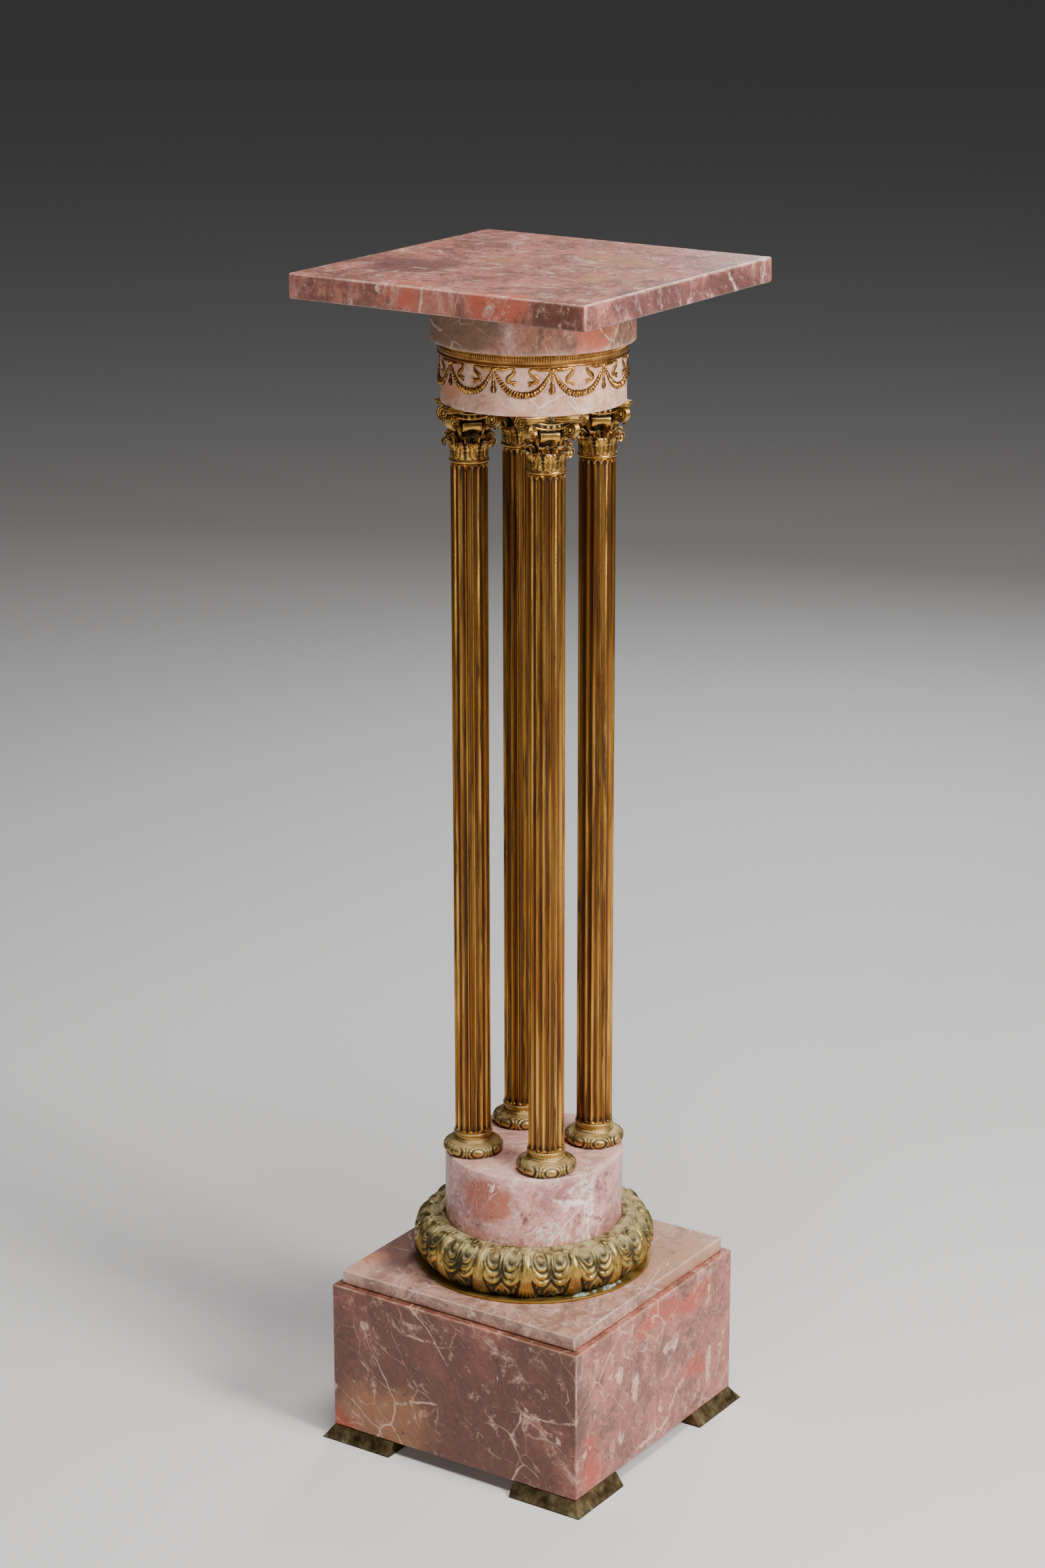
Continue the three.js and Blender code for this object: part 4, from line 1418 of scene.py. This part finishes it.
def curled_leaf(path, widths, lobes, ribs, rows):
    """A leaf that climbs a path of radius and height, with lobed edges and raised veins."""
    line = resample(smooth_path(path), rows)
    share = np.linspace(0, 1, rows)
    normals = outward(line)
    width = np.interp(share, np.linspace(0, 1, len(widths)), widths)
    width = (width * (1 - 0.16 * (1 - np.abs(np.sin(share * math.pi * lobes)))))[:, None]
    side = np.linspace(-1, 1, leaf_columns)
    veins = ribs * (np.abs(np.cos(side * 4.7)) - 0.5) + 0.7 * ribs * np.clip(1 - np.abs(side) * 5, 0, 1)
    notch = 0.35 * np.abs(np.sin(share * math.pi * lobes))[:, None] * np.abs(side)
    front = veins * ease(0, 0.15, share)[:, None] + notch - 0.9 * side ** 2
    layers = []
    for lift, sides in ((front, side), (front[:, ::-1] - leaf_thick, side[::-1])):
        radius = line[:, :1] + normals[:, :1] * lift
        layers.append(spread(radius, sides * width, line[:, 1:2] + normals[:, 1:2] * lift))
    # Painted shade: the back of each leaf is darkened, most on its lower part under the curl, and its front
    # between the raised veins and towards its edges.
    under = np.broadcast_to(ease(0.72, 0.5, share)[:, None] * 0.8 + 0.05, front.shape)
    hollow = np.concatenate([ease(0.5, -0.7, front) * 0.8, under], 1)
    return Shape().grid(np.concatenate(layers, 1), hollow, cap=True)


big_leaf = curled_leaf(
    [(15.6, 3.4), (16.2, 8), (16.8, 13), (18.6, 17.2), (20.6, 18.8), (21.6, 17.2), (20.8, 15.0)],
    [5.2, 6.2, 6.8, 7.2, 6.8, 6.0, 3.6], 6, 0.8, 26,
)
back_leaf = curled_leaf(
    [(15.0, 12), (15.6, 17), (16.6, 21), (18.6, 24.0), (20.2, 24.2), (20.6, 22.8)],
    [4.2, 5.4, 6.2, 6.0, 4.6, 2.0], 5, 0.8, 18,
)
stem_leaf = curled_leaf(
    [(14.0, 22), (16.0, 29), (19.5, 33.2), (23.8, 34.6), (27.0, 33.0), (26.4, 30.8)],
    [2.6, 3.4, 3.8, 3.6, 2.4, 0.8], 4, 0.5, 18,
)
print("leaf faces", [len(leaf.faces) for leaf in (big_leaf, back_leaf, stem_leaf)])

# %% [markdown]
# Between the scrolls, each face has a flat bright tongue with a dark ribbed shell under it. The tongue is
# a thick plate with soft edges. The shell is a dome whose ribs open like a fan.

# %% Tongue and shell
tongue_half = 8.6
tongue_low = 28.4
tongue_high = 36.2
shell_ribs = 18
shell_columns = 72


def face_tongue():
    """The tongue in the middle of a face, and the shell."""
    rows = np.array([
        (11.0, tongue_low), (15.8, tongue_low), (16.6, tongue_low + 0.6), (17.3, 32),
        (17.9, tongue_high - 0.7), (17.5, tongue_high), (11.0, tongue_high),
    ])
    side = np.array([-1, -0.97, -0.9, -0.5, 0, 0.5, 0.9, 0.97, 1])
    dip = np.array([0.9, 0.3, 0, 0, 0, 0, 0, 0.3, 0.9])
    plate = spread(rows[:, :1] - dip, side * tongue_half, rows[:, 1:2])
    shape = Shape()
    shape.grid(plate, np.full(plate.shape[:2], 0.02), round_columns=False, round_rows=True, sides=True)
    turns = np.linspace(0, 2 * math.pi, shell_columns + 1)[:-1]
    reach = np.linspace(0.02, 1, 9)[:, None]
    radius = np.sin(reach * math.pi / 2) * (1 + 0.06 * np.cos(turns * shell_ribs))
    out = 13.4 + 4.6 * np.cos(reach * math.pi / 2) * (1 + 0.14 * np.cos(turns * shell_ribs))
    shell = spread(out, radius * 7.2 * np.cos(turns), tongue_low - 0.3 - radius * 5.4 * np.sin(turns))
    # Painted shade: the shell under the tongue is darkened all over, most between its ribs.
    hollow = np.broadcast_to(0.55 + 0.35 * np.cos(turns * shell_ribs + math.pi), out.shape)
    return shape.grid(shell[:, ::-1], hollow, cap=True)


print("tongue", round(tongue_high - tongue_low, 1), "mm tall")

# %% [markdown]
# A corner scroll is a thick disc seen edge on from the corner. Both flat faces carry a raised spiral that
# ends in a round eye, and the rim carries three ridges. The disc is turned round the Y axis.

# %% Scrolls
scroll_radius = 7.3
scroll_thick = 6.4
scroll_columns = 48
scroll_place = capital_reach - 9.6
scroll_level = capital_tall - 12.2
spiral_step = 2.15


def scroll():
    """One corner scroll, in its place on the capital."""
    turns = ring_angles(scroll_columns)
    face = np.linspace(0.3, scroll_radius - 0.3, 15)[:, None]
    rim = np.linspace(-1, 1, 13)[:, None]
    half = scroll_thick / 2

    def disc_rows(radius, across):
        return spread(radius * np.cos(turns), across, radius * np.sin(turns))

    phase = face / spiral_step - (turns - math.pi / 2) / (2 * math.pi)
    ridge = (0.5 + 0.5 * np.cos(phase * 2 * math.pi)) ** 0.7
    eye = np.clip(1 - (face / 1.7) ** 2, 0, 1) ** 0.5 * 1.4
    spiral = np.maximum(ridge * (0.35 + 0.65 * ease(0.8, 2.0, face)) * 0.95, eye)
    ridges = np.abs(np.cos(rim * math.pi * 1.5)) ** 0.6 * 0.7
    rows = np.concatenate([
        disc_rows(face, -half + 0.95 - spiral),
        disc_rows(scroll_radius - 0.6 + ridges, rim * half),
        disc_rows(face[::-1], half - 0.95 + spiral[::-1]),
    ])
    # Grime and painted shade: the scroll is darkened in the grooves between the spiral's turns and between
    # the rim's ridges.
    on_face = ease(0.8, 0.1, spiral)
    on_rim = np.broadcast_to(ease(0.6, 0.1, ridges), (len(rim), scroll_columns))
    disc = Shape().grid(rows, np.concatenate([on_face, on_rim, on_face[::-1]]) * 0.9, cap=True)
    return Shape().add(disc, 0, (scroll_place, 0, scroll_level))


print("scroll", 2 * scroll_radius, "mm wide")

# %% [markdown]
# The abacus is the lid: a square with hollow sides and cut corners. One plan is drawn, and every row of
# its moulding is that plan moved in by a step, so the mouldings stay the same width all the way round.

# %% Abacus
abacus_steps = [(-20, -0.8), (-3.4, -0.8), (-2.6, -0.5), (-2.4, 0.6), (-1.4, 1.1), (-1.2, 1.9), (-1.5, 2.3)]
abacus_steps += [(-0.1, 2.9), (0, 3.3), (0, 4.6), (-0.3, 5.15), (-20, 5.15)]
# Painted shade: how dark each row of the moulding is painted, darkest on the underside and in its grooves.
abacus_hollow = np.array([1, 0.9, 0.6, 0.2, 0.7, 0.2, 0.8, 0.1, 0.0, 0.0, 0.1, 0.4])
abacus_cut = 2.6
abacus_waist = 0.58
abacus_level = 0.9


def hollow_sides(reach, cut, middle, steps):
    """Points round a square with hollow sides and cut corners."""
    t = np.linspace(-1, 1, steps)
    near, far = (reach - cut) / math.sqrt(2), (reach + cut) / math.sqrt(2)
    side = np.stack([middle + (far - middle) * t ** 2, t * near], -1)
    outline = []
    for quarter in range(4):
        cos, sin = math.cos(quarter * math.pi / 2), math.sin(quarter * math.pi / 2)
        outline.append(side @ np.array([[cos, sin], [-sin, cos]]))
    return np.concatenate(outline)


def abacus():
    """The moulded lid."""
    outline = hollow_sides(capital_reach - 0.4, abacus_cut, capital_reach * abacus_waist, 29)
    distance = np.linalg.norm(outline, axis=1)[:, None]
    rows = []
    for inset, level in abacus_steps:
        plan = outline / distance * np.maximum(distance + inset, 3)
        rows.append(spread(plan[:, 0], plan[:, 1], capital_tall * abacus_level + level))
    rows = np.stack(rows)
    return Shape().grid(rows, np.broadcast_to(abacus_hollow[:, None], rows.shape[:2]), cap=True)


print("abacus faces", len(abacus().faces))

# %% [markdown]
# Under the abacus, on each face, a band sags from scroll to scroll: two round fillets with a dark channel
# between them. It is one section drawn along a curve. The flower in the middle of the abacus is a dome
# whose edge and height both follow five petals.

# %% Channel and flower
channel_half = 13.0
channel_section = [(-4, -3.0), (0.6, -3.0), (1.3, -2.6), (1.4, -1.9), (0.9, -1.4), (-0.3, -1.1), (-0.5, 0)]
channel_section += [(-0.3, 1.1), (0.9, 1.4), (1.4, 1.9), (1.3, 2.6), (0.6, 3.0), (-4, 3.0)]
# Painted shade: the channel between the fillets, and the band's back where it meets the bell, are darkened.
channel_hollow = np.array([0.9, 0.4, 0.0, 0.0, 0.3, 0.9, 1.0, 0.9, 0.3, 0.0, 0.0, 0.4, 0.9])
petals = 5


def channel():
    """The sagging band between two scrolls: two round fillets with a dark channel between them."""
    y = np.linspace(-channel_half, channel_half, 41)[:, None]
    out = capital_reach * 0.47 + 1.4 * (y / channel_half) ** 2
    level = capital_tall - 7.4 - 2.4 * (1 - (y / channel_half) ** 2)
    section = np.array(channel_section)
    rows = spread(out + section[:, 0], y, level + section[:, 1])
    return Shape().grid(rows, np.broadcast_to(channel_hollow, rows.shape[:2]), cap=True)


def rosette():
    """The flower in the middle of each side of the abacus."""
    turns = ring_angles(40)
    reach = np.linspace(0.03, 1, 12)[:, None]
    edge = 0.84 + 0.16 * np.cos(turns * petals)
    out = 2.4 * arch(reach) * (0.75 + 0.35 * np.cos(turns * petals)) + 0.8 * ease(0.3, 0.0, reach)
    across = -reach * edge * 5.0 * np.cos(turns)
    level = capital_tall - 2.9 + reach * edge * 2.9 * np.sin(turns)
    rows = spread(capital_reach * 0.56 + out, across, level)
    # Painted shade: the flower is darkened by half all over and fully round its low edge, where it meets the
    # abacus.
    return Shape().grid(rows, ease(2.4, 0.4, out) * 0.5 + 0.5, cap=True)


print("channel", len(channel().faces), "faces, flower", len(rosette().faces))

# %% [markdown]
# Now the parts are joined: eight leaves round the neck, eight more behind them at the half steps, and on
# each quarter a face with its tongue, channel and flower and a corner with its scroll and stem. Each
# column's capital is the same casting, turned so that its corners point along the square.

# %% Capitals
neck_leaf_count = 8


def capital_form():
    """One whole capital, standing on the middle of its underside."""
    shape = Shape().add(bell()).add(abacus())
    for index in range(neck_leaf_count):
        shape.add(big_leaf, index * math.pi / 4)
        shape.add(back_leaf, (index + 0.5) * math.pi / 4)
    for index in range(4):
        face = index * math.pi / 2
        shape.add(face_tongue(), face).add(channel(), face).add(rosette(), face)
        shape.add(scroll(), face + math.pi / 4).add(stem_leaf, face + math.pi / 4)
    return shape


capital_shape = capital_form()
capitals = []
for index, number in enumerate(column_names):
    node = "capital_" + number
    shape = Shape().add(capital_shape, math.radians(45 + 90 * index), foot_point(node))
    capitals.append(shape.piece("bronze_" + node, capital_bronze, "gilt_bronze", [node], sharp=60))
print("capitals", [len(o.data.polygons) for o in capitals])

# %% [markdown]
# ## The corner feet
#
# Four flat bronze brackets lie under the plinth's corners. Their outer faces slope outwards, the edges
# are soft with age, and the faces are slightly uneven because they were cast in sand and filed by hand.
# One outline is raised into an L-shaped block, its edges are bevelled, and noise moves its sides. The
# other three are mirror images, so their faces are turned round where the mirror turns them inside out.

# %% Feet
foot_width = 26
foot_splay = 8.5
foot_bevel = 0.9
foot_dent = 0.22
longest_edge = 5
block_corner = corners_of("plinth_block")[1][:2]


def foot(number, side_x, side_y):
    """One foot under the corner on the given sides of the plinth."""
    low, high = corners_of("foot_" + number)
    arm = (high[0] - low[0]) - foot_splay
    tall = high[2] - low[2]
    inner = (-foot_width, -foot_width)
    outline = [(0, 0), (-arm, 0), (-arm, -foot_width), inner, (-foot_width, -arm), (0, -arm)]
    builder = bmesh.new()
    layers = []
    for level in (0, tall):
        splay = foot_splay * (1 - level / tall)
        places = [(x + splay * (x == 0), y + splay * (y == 0), level) for x, y in outline]
        layers.append([builder.verts.new(place) for place in places])
    builder.faces.new(layers[0])
    builder.faces.new(layers[1][::-1])
    for i in range(len(outline)):
        j = (i + 1) % len(outline)
        builder.faces.new((layers[0][j], layers[0][i], layers[1][i], layers[1][j]))
    bmesh.ops.recalc_face_normals(builder, faces=builder.faces)
    edges = builder.edges[:]
    bmesh.ops.bevel(builder, geom=edges, offset=foot_bevel, segments=2, profile=0.6, affect="EDGES")
    for _ in range(3):
        long_edges = [edge for edge in builder.edges if edge.calc_length() > longest_edge]
        bmesh.ops.subdivide_edges(builder, edges=long_edges, cuts=1, use_grid_fill=True)
    bmesh.ops.triangulate(builder, faces=[face for face in builder.faces if len(face.verts) > 4])
    points = np.array([vertex.co[:] for vertex in builder.verts])
    faces = [[vertex.index for vertex in face.verts] for face in builder.faces]
    builder.free()
    dent = lattice_noise(points, 17, 60 + int(number)) * foot_dent
    points[:, 2] = np.clip(points[:, 2], 0, tall)
    inside = (points[:, 2] > 0.5) & (points[:, 2] < tall - 0.5)
    points[:, :2] += (dent * inside)[:, None] - 0.3 * inside[:, None]
    corner = np.array([block_corner[0] * side_x, block_corner[1] * side_y, low[2]])
    points = points * np.array([side_x, side_y, 1]) + corner
    shape = Shape()
    shape.points = [points]
    # Painted shade: every foot is darkened, and the lowest 1.5 mm, where it meets the floor, more.
    shape.values = [0.35 + 0.4 * (points[:, 2] < 1.5)]
    shape.faces = faces if side_x * side_y > 0 else [face[::-1] for face in faces]
    shape.count = len(points)
    return shape.piece("bronze_foot_" + number, foot_bronze, "aged_bronze", ["foot_" + number], sharp=40)


feet = [foot("1", 1, 1), foot("2", -1, 1), foot("3", -1, -1), foot("4", 1, -1)]
print("feet", [len(o.data.polygons) for o in feet])

# %% [markdown]
# ## Verdigris at the foot of the leaves
#
# Water once stood between the leaf ring and its plate. It left two small crusts of pale blue-green
# copper salts there, and two crumbs. They are low domes with a ragged outline that lie on the plate, so
# they are a piece of their own. Each place is a turn, a length along the ring and a width.

# %% Verdigris finish
salt_green = paint(104, 142, 122)
salt_white = paint(182, 196, 186)
salt_earth = paint(92, 84, 58)


def verdigris():
    """Chalky blue-green salts with earth in their hollows."""
    finish = Finish("verdigris", Specular_IOR_Level=0.4)
    place = finish.place()
    lumps = finish.noise(place, 380, 6, 0.7)
    tint = finish.noise(place, 140, 4, 0.6)
    colour = finish.blend(tint.step(0.42, 0.58), salt_green, salt_white)
    colour = finish.blend(lumps.step(0.50, 0.38) * 0.8, colour, salt_earth)
    finish.set(Base_Color=colour, Roughness=0.75 + tint * 0.3 - 0.1)
    finish.bump(lumps, 0.8 * mm, 0.8)
    return finish.material


print("verdigris finish ready")

# %% Verdigris crusts
crust_radius = 103.0
crust_height = 2.0
crust_columns = 48
crust_rows = 16
crust_places = [(58, 7.0, 3.4), (75, 8.0, 3.6), (66, 2.4, 1.6), (83, 2.2, 1.6)]


def crusts():
    """All the crusts, as one piece."""
    turns = ring_angles(crust_columns)
    reach = np.linspace(1.0, 0.03, crust_rows)[:, None]
    shape = Shape()
    for index, (azimuth, length, width) in enumerate(crust_places):
        ragged = 1 + 0.22 * np.sin(turns * 3 + index) + 0.14 * np.sin(turns * 7 + 2 * index)
        dome = crust_height * np.sqrt(1 - reach ** 2) * (1 + 0.25 * np.sin(turns * 4 + reach * 9 + index))
        side = reach * ragged * np.cos(turns) * length
        out = reach * ragged * np.sin(turns) * width
        angle = math.radians(azimuth - 90) + side / crust_radius
        radius = crust_radius + out
        level = plate_high[2] - 0.2 + dome
        shape.grid(spread(radius * np.cos(angle), radius * np.sin(angle), level), cap=True)
    return shape.piece("verdigris_crusts", verdigris(), "aged_bronze", [])


crust_piece = crusts()
print("crusts", len(crust_piece.data.polygons))

# %% [markdown]
# ## Sizes
#
# Every piece was made to the size of its measured solid.
